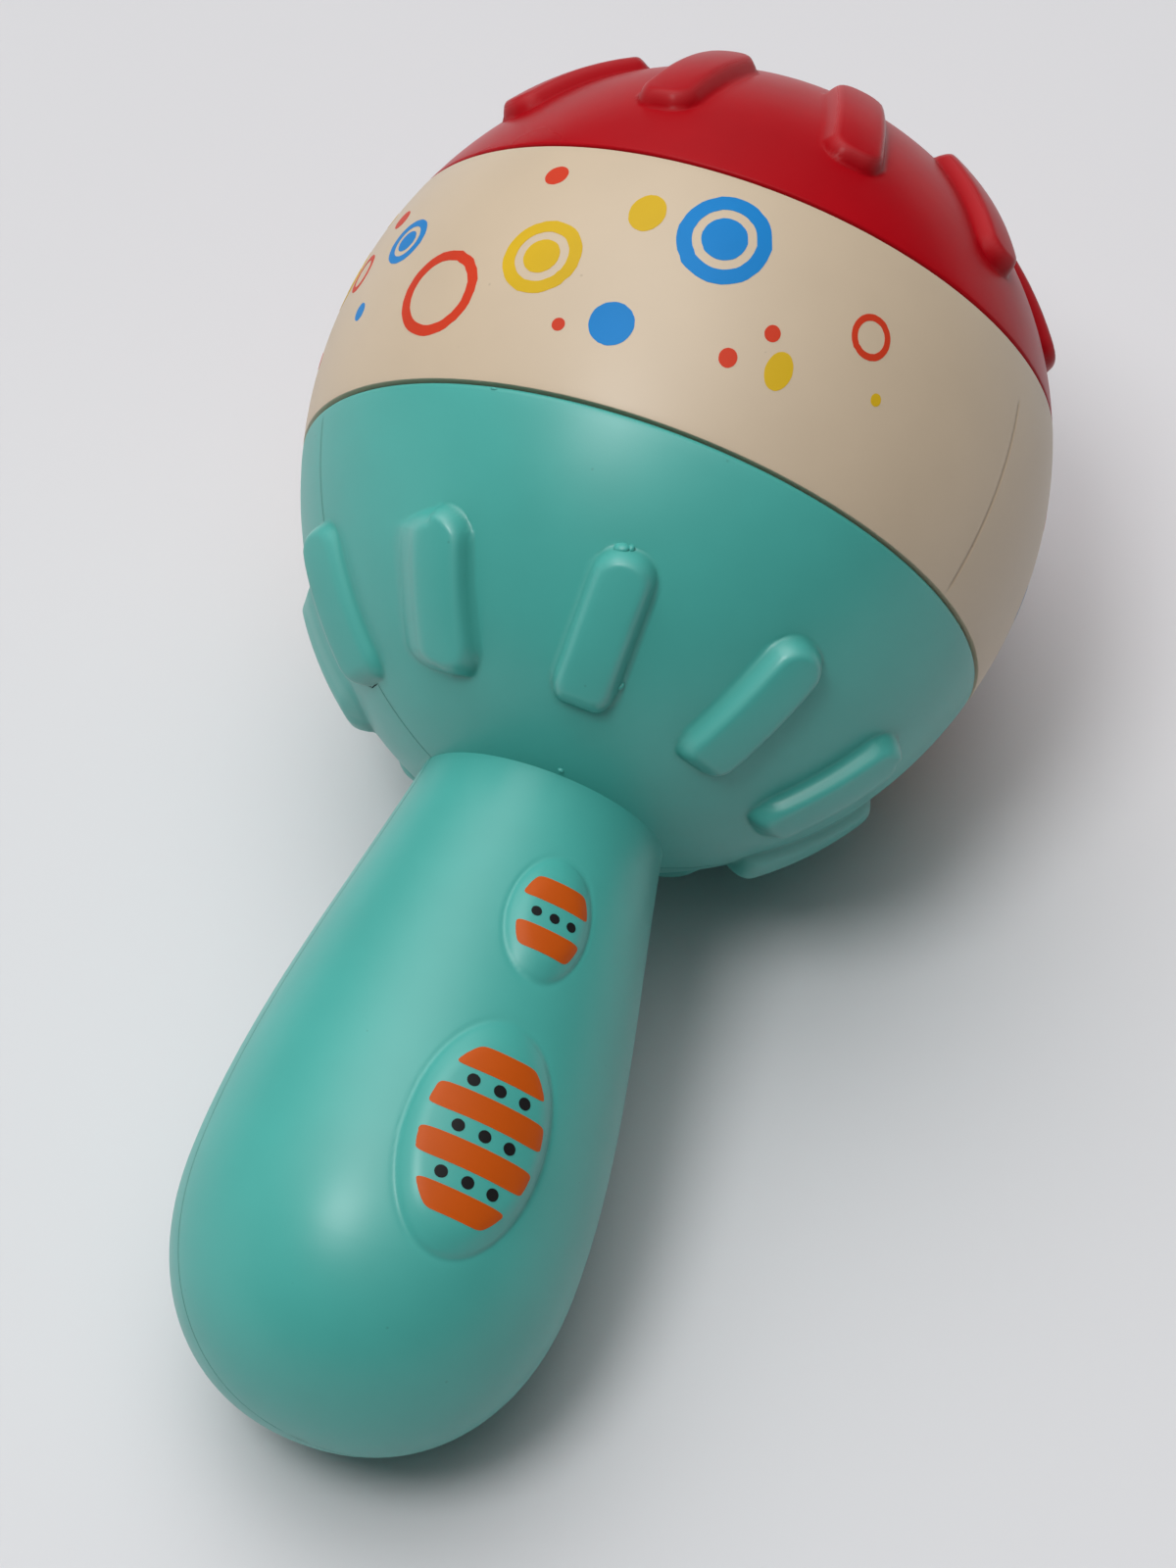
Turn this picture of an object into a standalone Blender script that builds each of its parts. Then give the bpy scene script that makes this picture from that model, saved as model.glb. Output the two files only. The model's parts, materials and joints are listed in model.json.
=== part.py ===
"""Baby maraca: two handle shells, a band ring and a cap round a chamber of loose beads.

Lengths are in metres. The mouldings are modelled along their own turning axis, with the cap at
the top, and then laid on the floor as one group: the head and the end of the handle touch it.
Heights along the axis count from the widest section of the head.
"""

import math

import bmesh
import bpy
import numpy as np
from mathutils import Matrix, Vector

MM = 0.001

# Head
HEAD_R = 34.0 * MM  # at its widest section
HEAD_UP = 37.4 * MM  # from there to the top of the cap
HEAD_DOWN = 38.4 * MM  # from there to where the bowl would close under the neck
BAND_LOW = 11.1 * MM  # the ring's lower edge, under the widest section
BAND_HIGH = 13.8 * MM  # the ring's upper edge, over the widest section

# Handle
NECK_R = 11.4 * MM
NECK_FLARE = 0.18  # radius gained per length just under the neck
HANDLE_LENGTH = 60.1 * MM
BULB_R = 17.7 * MM
BULB_END = 20.3 * MM  # from the thickest place to the end
BULB_SQUARE = 2.2  # 2 is an ellipse, and more is squarer

# Mouldings
WALL = 2.2 * MM
GAP = 0.3 * MM  # line between two mouldings
LAP = 3.0 * MM  # length of the ring's lap joints
SEAM_ANGLE = -61.5  # degrees round the axis, from the top of the lying maraca
FRONT_ANGLE = SEAM_ANGLE + 90.0

# Raised ribs of the bowl and the cap, each set on its own circle of the head
RIB_COUNT = 10
RIB_WIDTH = 5.6 * MM
RIB_RAISE = 1.2 * MM  # at its middle: a rib is straight, so its ends stand higher
RIB_ROOT = 1.5 * MM  # how far a rib reaches into the wall
RIB_CORNER = 2.3 * MM
RIB_EDGE = 0.9 * MM
BOWL_RIB_LENGTH = 14.2 * MM
BOWL_RIB_LATITUDE = -44.3
CAP_RIB_LENGTH = 15.5 * MM
CAP_RIB_LATITUDE = 44.8
CAP_RIB_TURN = -7.0  # of one rib of the cap against the middle of the front shell
TAB_MARGIN = 0.6 * MM  # of the front shell round a rib that crosses the seam

# Oval bosses in the middle of the front shell: place under the neck, half sizes and raise
BOSSES = {
    "small_boss": (13.3 * MM, 5.9 * MM, 3.9 * MM, 1.0 * MM),
    "large_boss": (34.2 * MM, 10.5 * MM, 6.5 * MM, 1.3 * MM),
}

# Pegs inside the handle that line up the shells, with their places under the neck
PEG_PLACES = (12.0 * MM, 38.0 * MM)
POST_R = 3.2 * MM
PEG_R = 1.5 * MM
PEG_LENGTH = 4.0 * MM
PEG_CLEAR = 0.3 * MM

# Rattle beads
BEAD_R = 3.25 * MM
BEAD_SPACE = 0.45 * MM  # between two beads
BEAD_CLEAR = 0.3 * MM  # to the wall of the chamber
BEAD_RINGS = 2  # of beads round the middle one

# Fineness of the round surfaces
TURN_STEPS = 48
PART_START = 0.25  # share of a step by which a turned part starts past the seam
CUTTER_START = 0.75
ARC_STEP = math.radians(5.4)  # along the outline of the head
FINE_STEP = math.radians(0.15)  # for measuring against that outline
SHAFT_POINTS = 11
END_POINTS = 9
CORNER_STEPS = 3
EDGE_STEPS = 2
BOSS_STEPS = (24, 14)
ROD_SIDES = 20
BEAD_STEPS = (12, 8)
SMOOTH_UNDER = math.radians(35.0)
HALVINGS = 60  # in a search by halves

# Clear the startup scene
for old in list(bpy.data.objects):
    bpy.data.objects.remove(old, do_unlink=True)


def collection(name, hidden):
    made = bpy.data.collections.new(name)
    bpy.context.scene.collection.children.link(made)
    made.hide_render = hidden
    return made


PARTS = collection("baby_maraca", False)
CUTTERS = collection("baby_maraca_cutters", True)


def material(name, colour, roughness):
    made = bpy.data.materials.new(name)
    made.use_nodes = True
    shader = made.node_tree.nodes["Principled BSDF"]
    shader.inputs["Base Color"].default_value = (*colour, 1.0)
    shader.inputs["Roughness"].default_value = roughness
    return made


def add(name, mesh, surface=None):
    """A part if it has a surface, and otherwise a cutter: a wire that does not render."""
    made = bpy.data.objects.new(name, mesh)
    if surface:
        mesh.materials.append(surface)
        PARTS.objects.link(made)
    else:
        CUTTERS.objects.link(made)
        made.hide_render = True
        made.display_type = "WIRE"
    return made


def from_bmesh(name, shape, surface=None):
    bmesh.ops.recalc_face_normals(shape, faces=shape.faces)
    mesh = bpy.data.meshes.new(name)
    shape.to_mesh(mesh)
    shape.free()
    mesh.shade_smooth()
    mesh.set_sharp_from_angle(angle=SMOOTH_UNDER)
    return add(name, mesh, surface)


def turned(name, profile, surface=None, closed=False):
    """A profile of (radius, height) points, from top to bottom, turned about Z.

    Parts and cutters start at unlike shares of a step from the seam, so that no edges meet.
    """
    points = [(radius, 0.0, height) for radius, height in profile]
    edges = [(i, i + 1) for i in range(len(points) - 1)]
    if closed:
        edges.append((len(points) - 1, 0))
    mesh = bpy.data.meshes.new(name)
    mesh.from_pydata(points, edges, [])
    made = add(name, mesh, surface)
    start = PART_START if surface else CUTTER_START
    made.rotation_euler.z = math.radians(SEAM_ANGLE) + start * math.tau / TURN_STEPS
    turn = made.modifiers.new("turn", "SCREW")
    turn.angle = math.tau
    turn.steps = TURN_STEPS
    turn.render_steps = TURN_STEPS
    turn.use_merge_vertices = True
    turn.merge_threshold = 0.00001
    return made


def boolean(target, operation, other):
    step = target.modifiers.new(other.name, "BOOLEAN")
    step.operation = operation
    step.solver = "EXACT"
    step.object = other


# The outline of the head is half an ellipse up and half an ellipse down


def head_r(height, inset=0.0):
    reach = (HEAD_UP if height > 0.0 else HEAD_DOWN) - inset
    return (HEAD_R - inset) * math.sqrt(max(0.0, 1.0 - (height / reach) ** 2))


def head_arc(start, end, inset=0.0, step=ARC_STEP):
    """Points of the head's outline between two heights, even in angle, from start to end."""

    def latitude(height):
        reach = (HEAD_UP if height > 0.0 else HEAD_DOWN) - inset
        return math.asin(max(-1.0, min(1.0, height / reach)))

    first = latitude(start)
    last = latitude(end)
    points = []
    for angle in np.linspace(first, last, 1 + math.ceil(abs(last - first) / step)):
        reach = (HEAD_UP if angle > 0.0 else HEAD_DOWN) - inset
        points.append(((HEAD_R - inset) * math.cos(angle), reach * math.sin(angle)))
    return points


# The handle swells from the neck to a bulb and closes in a round end

NECK = -HEAD_DOWN * math.sqrt(1.0 - (NECK_R / HEAD_R) ** 2)
SHAFT = HANDLE_LENGTH - BULB_END


def shaft_r(below):
    """Radius at a distance under the neck, down to the thickest place."""
    share = below / SHAFT
    start = NECK_FLARE * SHAFT / (BULB_R - NECK_R)
    blend = start * share + (3.0 - 2.0 * start) * share**2 + (start - 2.0) * share**3
    return NECK_R + (BULB_R - NECK_R) * blend


def handle_arc(first, inset=0.0):
    """Points of the handle's outline from a distance under the neck to its end."""
    points = [(shaft_r(d) - inset, NECK - d) for d in np.linspace(first, SHAFT, SHAFT_POINTS)]
    for angle in np.linspace(0.0, 0.5 * math.pi, END_POINTS + 1)[1:-1]:
        across = math.cos(angle) ** (2.0 / BULB_SQUARE)
        along = math.sin(angle) ** (2.0 / BULB_SQUARE)
        points.append(((BULB_R - inset) * across, NECK - SHAFT - (BULB_END - inset) * along))
    return points + [(0.0, NECK - HANDLE_LENGTH + inset)]


def placed_on(angle, radius, height, lean):
    """Axes on a surface: X outwards, Y round the axis, Z up along the outline."""
    turn = Matrix.Rotation(math.radians(angle), 4, "Z")
    move = Matrix.Translation(Vector((radius, 0.0, height)))
    return turn @ move @ Matrix.Rotation(lean, 4, "Y")


def rib_seat(latitude):
    """Radius, height and lean of the head's surface where a rib has its middle."""
    angle = math.radians(latitude)
    reach = HEAD_UP if latitude > 0.0 else HEAD_DOWN
    lean = math.atan2(-HEAD_R * math.sin(angle), reach * math.cos(angle))
    return HEAD_R * math.cos(angle), reach * math.sin(angle), lean


def ribs(name, first, latitude, length):
    """Rounded bars that lie along the outline of the head, spaced evenly round it."""
    radius, height, lean = rib_seat(latitude)
    bar = bmesh.new()
    bmesh.ops.create_cube(bar, size=1.0)
    size = Matrix.Diagonal((RIB_RAISE + RIB_ROOT, RIB_WIDTH, length, 1.0))
    shift = Matrix.Translation(Vector((0.5 * (RIB_RAISE - RIB_ROOT), 0.0, 0.0)))
    bmesh.ops.transform(bar, matrix=shift @ size, verts=bar.verts)
    corners = [e for e in bar.edges if abs(e.verts[0].co.x - e.verts[1].co.x) > RIB_ROOT]
    bmesh.ops.bevel(
        bar, geom=corners, offset=RIB_CORNER, segments=CORNER_STEPS, profile=0.5, affect="EDGES"
    )
    rim = [e for e in bar.edges if min(v.co.x for v in e.verts) > 0.0]
    bmesh.ops.bevel(
        bar, geom=rim, offset=RIB_EDGE, segments=EDGE_STEPS, profile=0.5, affect="EDGES"
    )
    mesh = bpy.data.meshes.new(name)
    bar.to_mesh(mesh)
    bar.free()
    shape = bmesh.new()
    for k in range(RIB_COUNT):
        place = placed_on(first + 360.0 / RIB_COUNT * k, radius, height, lean)
        known = len(shape.verts)
        shape.from_mesh(mesh)
        shape.verts.ensure_lookup_table()
        bmesh.ops.transform(shape, matrix=place, verts=shape.verts[known:])
    bpy.data.meshes.remove(mesh)
    return from_bmesh(name, shape)


def boss(name, below, half_long, half_wide, raise_by):
    """A low oval bump: an ellipsoid sunk so that it meets the shaft at its half sizes."""
    radius = shaft_r(below)
    ends = (shaft_r(below - half_long), shaft_r(below + half_long))
    side_drop = radius - math.sqrt(radius**2 - half_wide**2)
    end_drop = radius - 0.5 * sum(ends)
    sunk = side_drop + raise_by
    top = sunk + raise_by
    wide = half_wide / math.sqrt(1.0 - ((sunk - side_drop) / top) ** 2)
    long = half_long / math.sqrt(1.0 - ((sunk - end_drop) / top) ** 2)
    shape = bmesh.new()
    sides, rings = BOSS_STEPS
    bmesh.ops.create_uvsphere(shape, u_segments=sides, v_segments=rings, radius=1.0)
    bmesh.ops.scale(shape, vec=(top, wide, long), verts=shape.verts)
    lean = math.atan2(ends[0] - ends[1], 2.0 * half_long)
    place = placed_on(FRONT_ANGLE, radius - sunk, NECK - below, lean)
    bmesh.ops.transform(shape, matrix=place, verts=shape.verts)
    return from_bmesh(name, shape)


def behind_seam(name, offset):
    """Everything behind the parting surface, which steps round the ribs that cross it."""
    _, height, lean = rib_seat(BOWL_RIB_LATITUDE)
    half = 0.5 * BOWL_RIB_LENGTH * math.cos(lean)
    high = height + half + TAB_MARGIN - offset
    low = height - half - RIB_RAISE * math.sin(lean) - TAB_MARGIN + offset
    back = offset - 0.5 * RIB_WIDTH - TAB_MARGIN
    far = HEAD_R + HANDLE_LENGTH
    top = 2.0 * HEAD_UP
    bottom = NECK - 2.0 * HANDLE_LENGTH
    outline = [
        (offset, top), (offset, high), (back, high), (back, low), (offset, low),
        (offset, bottom), (-far, bottom), (-far, top),
    ]
    shape = bmesh.new()
    face = shape.faces.new([shape.verts.new((w, -far, h)) for w, h in outline])
    made = bmesh.ops.extrude_face_region(shape, geom=[face])
    moved = [g for g in made["geom"] if isinstance(g, bmesh.types.BMVert)]
    bmesh.ops.translate(shape, vec=(0.0, 2.0 * far, 0.0), verts=moved)
    turn = Matrix.Rotation(math.radians(FRONT_ANGLE), 4, "Z")
    bmesh.ops.transform(shape, matrix=turn, verts=shape.verts)
    return from_bmesh(name, shape)


def rods(name, radius, start, end):
    """Round rods across the handle at the peg places. Each end is worked out at its place."""
    turn = Matrix.Rotation(math.radians(FRONT_ANGLE), 4, "Z")
    shape = bmesh.new()
    for below in PEG_PLACES:
        stop = end(below)
        place = turn @ Matrix.Translation(Vector((0.5 * (start + stop), 0.0, NECK - below)))
        bmesh.ops.create_cone(
            shape, cap_ends=True, segments=ROD_SIDES, radius1=radius, radius2=radius,
            depth=abs(stop - start), matrix=place @ Matrix.Rotation(0.5 * math.pi, 4, "Y"),
        )
    return from_bmesh(name, shape)


def in_wall(below):
    """Distance from the axis to the middle of the handle's wall."""
    return shaft_r(below) - 0.5 * WALL


# Lap joints: the ring has the inner half of the wall, the bowl and the cap the outer half
TONGUE = 0.5 * (WALL + GAP)
RECESS = 0.5 * (WALL - GAP)
BOWL_STEP = -BAND_LOW - LAP - GAP
CAP_STEP = BAND_HIGH + LAP + GAP
BOWL_RIM = -BAND_LOW - 0.5 * GAP
CAP_RIM = BAND_HIGH + 0.5 * GAP

# Hollows and helpers
bowl_hollow = turned(
    "bowl_hollow",
    [(0.0, BAND_HIGH), (head_r(-BAND_LOW, RECESS), BAND_HIGH)]
    + [(head_r(h, RECESS), h) for h in (-BAND_LOW, BOWL_STEP)]
    + head_arc(BOWL_STEP, WALL - HEAD_DOWN, WALL)[:-1]
    + [(0.0, WALL - HEAD_DOWN)],
)
FLOOR_BELOW = HEAD_DOWN + NECK  # from the neck down to the underside of the bowl's floor
handle_hollow = turned(
    "handle_hollow", [(0.0, -HEAD_DOWN), *handle_arc(FLOOR_BELOW, WALL)]
)
bowl_ribs = ribs("bowl_ribs", SEAM_ANGLE, BOWL_RIB_LATITUDE, BOWL_RIB_LENGTH)
rear_side = behind_seam("rear_side", 0.5 * GAP)
front_side = behind_seam("front_side", -0.5 * GAP)
front_posts = rods("front_posts", POST_R, 0.5 * GAP, in_wall)
front_pegs = rods("front_pegs", PEG_R, PEG_LENGTH, lambda below: -PEG_LENGTH)
rear_posts = rods("rear_posts", POST_R, -0.5 * GAP, lambda below: -in_wall(below))
rear_sockets = rods(
    "rear_sockets", PEG_R + PEG_CLEAR, PEG_CLEAR, lambda below: -PEG_LENGTH - PEG_CLEAR
)

# Shells
SHELL_OUT = [(0.0, BOWL_RIM), *head_arc(BOWL_RIM, NECK), *handle_arc(0.0)[1:]]
TURQUOISE = (0.12, 0.51, 0.43)
SHELL_ROUGHNESS = 0.4
front_shell = turned("front_shell", SHELL_OUT, material("front_shell", TURQUOISE, SHELL_ROUGHNESS))
rear_shell = turned("rear_shell", SHELL_OUT, material("rear_shell", TURQUOISE, SHELL_ROUGHNESS))
for shell in (front_shell, rear_shell):
    boolean(shell, "UNION", bowl_ribs)
for name, sizes in BOSSES.items():
    boolean(front_shell, "UNION", boss(name, *sizes))
for shell in (front_shell, rear_shell):
    boolean(shell, "DIFFERENCE", bowl_hollow)
    boolean(shell, "DIFFERENCE", handle_hollow)
boolean(front_shell, "DIFFERENCE", rear_side)
boolean(front_shell, "UNION", front_posts)
boolean(front_shell, "UNION", front_pegs)
boolean(rear_shell, "INTERSECT", front_side)
boolean(rear_shell, "UNION", rear_posts)
boolean(rear_shell, "DIFFERENCE", rear_sockets)

# Ring, with a tongue up into the cap and one down into the bowl
RING_TOP = BAND_HIGH + LAP
RING_END = -BAND_LOW - LAP
RING_HIGH = BAND_HIGH - 0.5 * GAP
RING_LOW = -BAND_LOW + 0.5 * GAP
band_ring = turned(
    "band_ring",
    [(head_r(h, TONGUE), h) for h in (RING_TOP, RING_HIGH)]
    + head_arc(RING_HIGH, RING_LOW)
    + [(head_r(h, TONGUE), h) for h in (RING_LOW, RING_END)]
    + head_arc(RING_END, RING_TOP, WALL),
    material("band_ring", (0.75, 0.66, 0.53), 0.42),
    closed=True,
)

# Cap
cap_out = [(0.0, HEAD_UP), *head_arc(HEAD_UP, CAP_RIM)[1:], (0.0, CAP_RIM)]
top_cap = turned("top_cap", cap_out, material("top_cap", (0.47, 0.02, 0.03), 0.4))
cap_hollow = turned(
    "cap_hollow",
    [(0.0, HEAD_UP - WALL), *head_arc(HEAD_UP - WALL, CAP_STEP, WALL)[1:]]
    + [(head_r(h, RECESS), h) for h in (CAP_STEP, BAND_HIGH)]
    + [(head_r(BAND_HIGH, RECESS), 0.0), (0.0, 0.0)],
)
CAP_RIB_FIRST = FRONT_ANGLE + CAP_RIB_TURN
boolean(top_cap, "UNION", ribs("cap_ribs", CAP_RIB_FIRST, CAP_RIB_LATITUDE, CAP_RIB_LENGTH))
boolean(top_cap, "DIFFERENCE", cap_hollow)

# How the maraca lies: one line of floor touches the head and the end of the handle
HEAD_OUT = np.array(head_arc(HEAD_UP, NECK, step=FINE_STEP))
HANDLE_OUT = np.array(handle_arc(0.0))


def under_axis(points, lie):
    """How far each point of an outline lies under the axis when that is tilted by lie."""
    return points[:, 0] * math.cos(lie) - points[:, 1] * math.sin(lie)


def lie_angle():
    low = 0.0
    high = 0.25 * math.pi
    for _ in range(HALVINGS):
        lie = 0.5 * (low + high)
        if under_axis(HEAD_OUT, lie).max() > under_axis(HANDLE_OUT, lie).max():
            low = lie
        else:
            high = lie
    return 0.5 * (low + high)


LIE = lie_angle()
AXIS_HEIGHT = under_axis(HEAD_OUT, LIE).max()
OUTLINE = np.concatenate([HEAD_OUT, HANDLE_OUT])
FORWARD = OUTLINE[:, 1] * math.cos(LIE)
SIDEWAYS = OUTLINE[:, 0] * math.sin(LIE)
MIDDLE = 0.5 * ((FORWARD + SIDEWAYS).max() + (FORWARD - SIDEWAYS).min())
LAY = Matrix((
    (-math.sin(LIE), 0.0, math.cos(LIE), -MIDDLE),
    (0.0, -1.0, 0.0, 0.0),
    (math.cos(LIE), 0.0, math.sin(LIE), AXIS_HEIGHT),
    (0.0, 0.0, 0.0, 1.0),
))
UNLAY = LAY.inverted()
maraca = bpy.data.objects.new("maraca", None)
PARTS.objects.link(maraca)
maraca.matrix_world = LAY
for piece in (front_shell, rear_shell, band_ring, top_cap, *CUTTERS.objects):
    piece.parent = maraca

# Beads: rings round the chamber's lowest place, each bead with its own upright lane
CHAMBER = np.array(head_arc(HEAD_UP - WALL, WALL - HEAD_DOWN, WALL, FINE_STEP))


def fits(place):
    """Whether a bead with its middle here is clear of the wall of the chamber."""
    local = UNLAY @ place
    radius = math.hypot(local.x, local.y)
    inside = WALL - HEAD_DOWN < local.z < HEAD_UP - WALL and radius < head_r(local.z, WALL)
    distance = np.hypot(CHAMBER[:, 0] - radius, CHAMBER[:, 1] - local.z).min()
    return inside and distance > BEAD_R + BEAD_CLEAR


def lane_end(x, y, direction):
    """Height of a bead's middle at one end of the upright line through this place."""
    near = AXIS_HEIGHT
    far = near + direction * 2.0 * HEAD_R
    for _ in range(HALVINGS):
        middle = 0.5 * (near + far)
        if fits(Vector((x, y, middle))):
            near = middle
        else:
            far = middle
    return near


touch = HEAD_OUT[under_axis(HEAD_OUT, LIE).argmax()]
MIDDLE_X = (LAY @ Vector((-touch[0], 0.0, touch[1]))).x
PITCH = 2.0 * BEAD_R + BEAD_SPACE
spots = [(0, 0)]
for ring in range(1, BEAD_RINGS + 1):
    spot = (ring, 0)
    for step in ((-1, 1), (-1, 0), (0, -1), (1, -1), (1, 0), (0, 1)):
        for _ in range(ring):
            spots.append(spot)
            spot = (spot[0] + step[0], spot[1] + step[1])
for number, (along, across) in enumerate(spots, start=1):
    name = f"bead_{number:02d}"
    x = MIDDLE_X + PITCH * (along + 0.5 * across)
    y = PITCH * across * math.sqrt(0.75)
    low = lane_end(x, y, -1.0)
    lift = lane_end(x, y, 1.0) - low
    shape = bmesh.new()
    sides, rings = BEAD_STEPS
    bmesh.ops.create_uvsphere(shape, u_segments=sides, v_segments=rings, radius=BEAD_R)
    bead = from_bmesh(name, shape, material(name, (0.78, 0.72, 0.6), 0.3))
    bead.parent = maraca
    bead.matrix_parent_inverse = UNLAY
    bead.location = (x, y, low)
    print(f"{name} rests at {x:.5f} {y:.5f} {low:.5f} and lifts {lift:.5f}")
print(f"lies at {math.degrees(LIE):.3f} degrees, axis {AXIS_HEIGHT:.5f} up, middle {MIDDLE:.5f}")
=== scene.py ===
# %% [markdown]
# # A baby maraca, dressed in Blender
#
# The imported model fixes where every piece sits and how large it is. This lesson gives each of
# its mouldings a fine surface, prints the dots, and lights it as in the photograph. Nothing is
# moved or resized: each new piece takes the place of a plain solid and rides on the same body.

# %% Load the fixed frame
import json
import math

import bmesh
import bpy
import numpy as np
from mathutils import Matrix, Vector


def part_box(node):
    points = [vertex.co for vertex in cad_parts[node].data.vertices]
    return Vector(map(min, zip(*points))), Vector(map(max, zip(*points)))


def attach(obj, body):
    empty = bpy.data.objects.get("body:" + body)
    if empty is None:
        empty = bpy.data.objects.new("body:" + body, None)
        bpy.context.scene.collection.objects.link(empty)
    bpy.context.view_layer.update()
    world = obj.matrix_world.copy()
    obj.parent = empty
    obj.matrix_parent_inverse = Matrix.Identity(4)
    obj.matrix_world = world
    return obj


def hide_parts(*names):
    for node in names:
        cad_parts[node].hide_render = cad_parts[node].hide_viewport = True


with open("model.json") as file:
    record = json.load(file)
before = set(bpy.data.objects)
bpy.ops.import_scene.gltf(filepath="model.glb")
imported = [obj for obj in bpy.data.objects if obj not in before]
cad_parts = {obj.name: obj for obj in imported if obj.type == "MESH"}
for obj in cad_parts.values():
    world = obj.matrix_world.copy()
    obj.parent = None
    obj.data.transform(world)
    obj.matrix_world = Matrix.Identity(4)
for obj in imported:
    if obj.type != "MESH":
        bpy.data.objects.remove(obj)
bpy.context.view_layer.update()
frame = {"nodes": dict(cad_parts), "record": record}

MM = 0.001
SCENE = bpy.context.scene

# %% [markdown]
# ## The maraca's own axes
#
# The maraca lies on the floor, but it was turned about its own axis, so it is far easier to
# model it standing up and to lay it down at the end. The record's hand_grip mount gives a point
# on that axis and its direction. From these comes one matrix that lays down anything modelled
# upright: local Z runs to the cap, and local X is the side that faces up.

# %% Axis and head centre from the mount
GRIP_BELOW_HEAD = 57.8 * MM  # from the widest section of the head down to the grip's point

grip = next(m for m in frame["record"]["mounts"] if m["name"] == "hand_grip")
axis = Vector(grip["axis"]).normalized()
head_centre = Vector(grip["pos_m"]) + GRIP_BELOW_HEAD * axis
across = Vector((0.0, -1.0, 0.0))
upper = across.cross(axis)
LAY = Matrix.Translation(head_centre) @ Matrix((upper, across, axis)).transposed().to_4x4()
UNLAY = LAY.inverted()
print("head centre:", [round(c, 5) for c in head_centre], "lies at",
      round(math.degrees(math.asin(axis.z)), 2), "degrees")

# %% [markdown]
# ## Sizes
#
# These are the sizes that the solids were built with. Repeating them by name lets every outline
# below be a formula instead of a list of points.

# %% Sizes of the mouldings
HEAD_R = 34.0 * MM
HEAD_UP = 37.4 * MM
HEAD_DOWN = 38.4 * MM
BAND_LOW = 11.1 * MM
BAND_HIGH = 13.8 * MM
NECK_R = 11.4 * MM
NECK_FLARE = 0.18
HANDLE_LENGTH = 60.1 * MM
BULB_R = 17.7 * MM
BULB_END = 20.3 * MM
BULB_SQUARE = 2.2
WALL = 2.2 * MM
LAP = 3.0 * MM
SEAM_ANGLE = math.radians(-61.5)
FRONT_ANGLE = SEAM_ANGLE + 0.5 * math.pi
NECK = -HEAD_DOWN * math.sqrt(1.0 - (NECK_R / HEAD_R) ** 2)
SHAFT = HANDLE_LENGTH - BULB_END
print("neck", round(-NECK / MM, 2), "mm below the widest section")

# %% [markdown]
# ## Camera
#
# The photograph was taken from above and a little to the left of the handle. A fit of the
# turned outline to the photograph gave the lens, the height of the view and the place of the
# head in the picture. The camera is put there by working backwards from the head.

# %% Camera at the photograph's view
PHOTO_HEIGHT = 1600  # pixels
FOCAL_PIXELS = 4500.0
SENSOR = 36.0
VIEW_DOWN = math.radians(56.64)
AXIS_RIGHT = math.radians(20.39)  # how far the maraca points to the right of straight away
HEAD_IN_VIEW = (8.23 * MM, -29.34 * MM, 405.6 * MM)  # right, down and forward of the camera


def add_object(name, data):
    """A new object in the scene."""
    thing = bpy.data.objects.new(name, data)
    SCENE.collection.objects.link(thing)
    return thing


forward = Vector((
    math.cos(VIEW_DOWN) * math.cos(AXIS_RIGHT),
    math.cos(VIEW_DOWN) * math.sin(AXIS_RIGHT),
    -math.sin(VIEW_DOWN),
))
right = Vector((math.sin(AXIS_RIGHT), -math.cos(AXIS_RIGHT), 0.0))
down = forward.cross(right)
camera_data = bpy.data.cameras.new("photo_camera")
camera_data.sensor_width = SENSOR
camera_data.lens = SENSOR * FOCAL_PIXELS / PHOTO_HEIGHT
camera_data.clip_start = 0.01
camera = add_object("photo_camera", camera_data)
eye = head_centre - sum((d * s for d, s in zip((right, down, forward), HEAD_IN_VIEW)), Vector())
turned = Matrix((right, -down, -forward)).transposed().to_4x4()
camera.matrix_world = Matrix.Translation(eye) @ turned
SCENE.camera = camera
print("camera at", [round(c, 3) for c in eye], "lens", round(camera_data.lens, 2), "mm")

# %% [markdown]
# ## Floor and light
#
# The toy lies on a plain pale sheet in a bright room. Most of the light is soft and comes from
# above and from the far left, and one smaller lamp, high on the left, gives the long highlight on
# the handle and the shadow with a faint edge on the right. The soft part is a sky made of a few
# broad glows. Each is brightest in one direction and fades evenly away from it. Together they are
# kept at a level at which a colour renders about as it is written.

# %% Floor
FLOOR_SIZE = 14.0
FLOOR_COLOUR = (0.70, 0.70, 0.72, 1.0)

floor_shape = bmesh.new()
bmesh.ops.create_grid(floor_shape, x_segments=1, y_segments=1, size=0.5 * FLOOR_SIZE)
floor_mesh = bpy.data.meshes.new("floor")
floor_shape.to_mesh(floor_mesh)
floor_shape.free()
floor = add_object("floor", floor_mesh)
floor_finish = bpy.data.materials.new("pale_sheet")
floor_finish.use_nodes = True
floor_shader = floor_finish.node_tree.nodes["Principled BSDF"]
floor_shader.inputs["Base Color"].default_value = FLOOR_COLOUR
floor_shader.inputs["Roughness"].default_value = 0.85
floor_mesh.materials.append(floor_finish)
print("floor:", FLOOR_SIZE, "m square")

# %% Sky of a few broad glows
GLOWS = {
    # left of the picture, away from the camera, up, level
    "overhead": (0.0, 0.0, 1.0, 2.3),
    "far_left": (0.25, 0.43, 0.87, 2.7),
    "far": (0.0, 0.87, 0.5, 0.7),
    "left": (1.0, 0.0, 0.07, 0.75),
}
GLOW_POWER = 12.0  # the higher, the narrower each glow


def feed(tree, socket, value):
    """Links an output of a node to a socket, or sets the socket's own value."""
    if isinstance(value, bpy.types.NodeSocket):
        tree.links.new(value, socket)
    elif value is not None:
        socket.default_value = value


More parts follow.
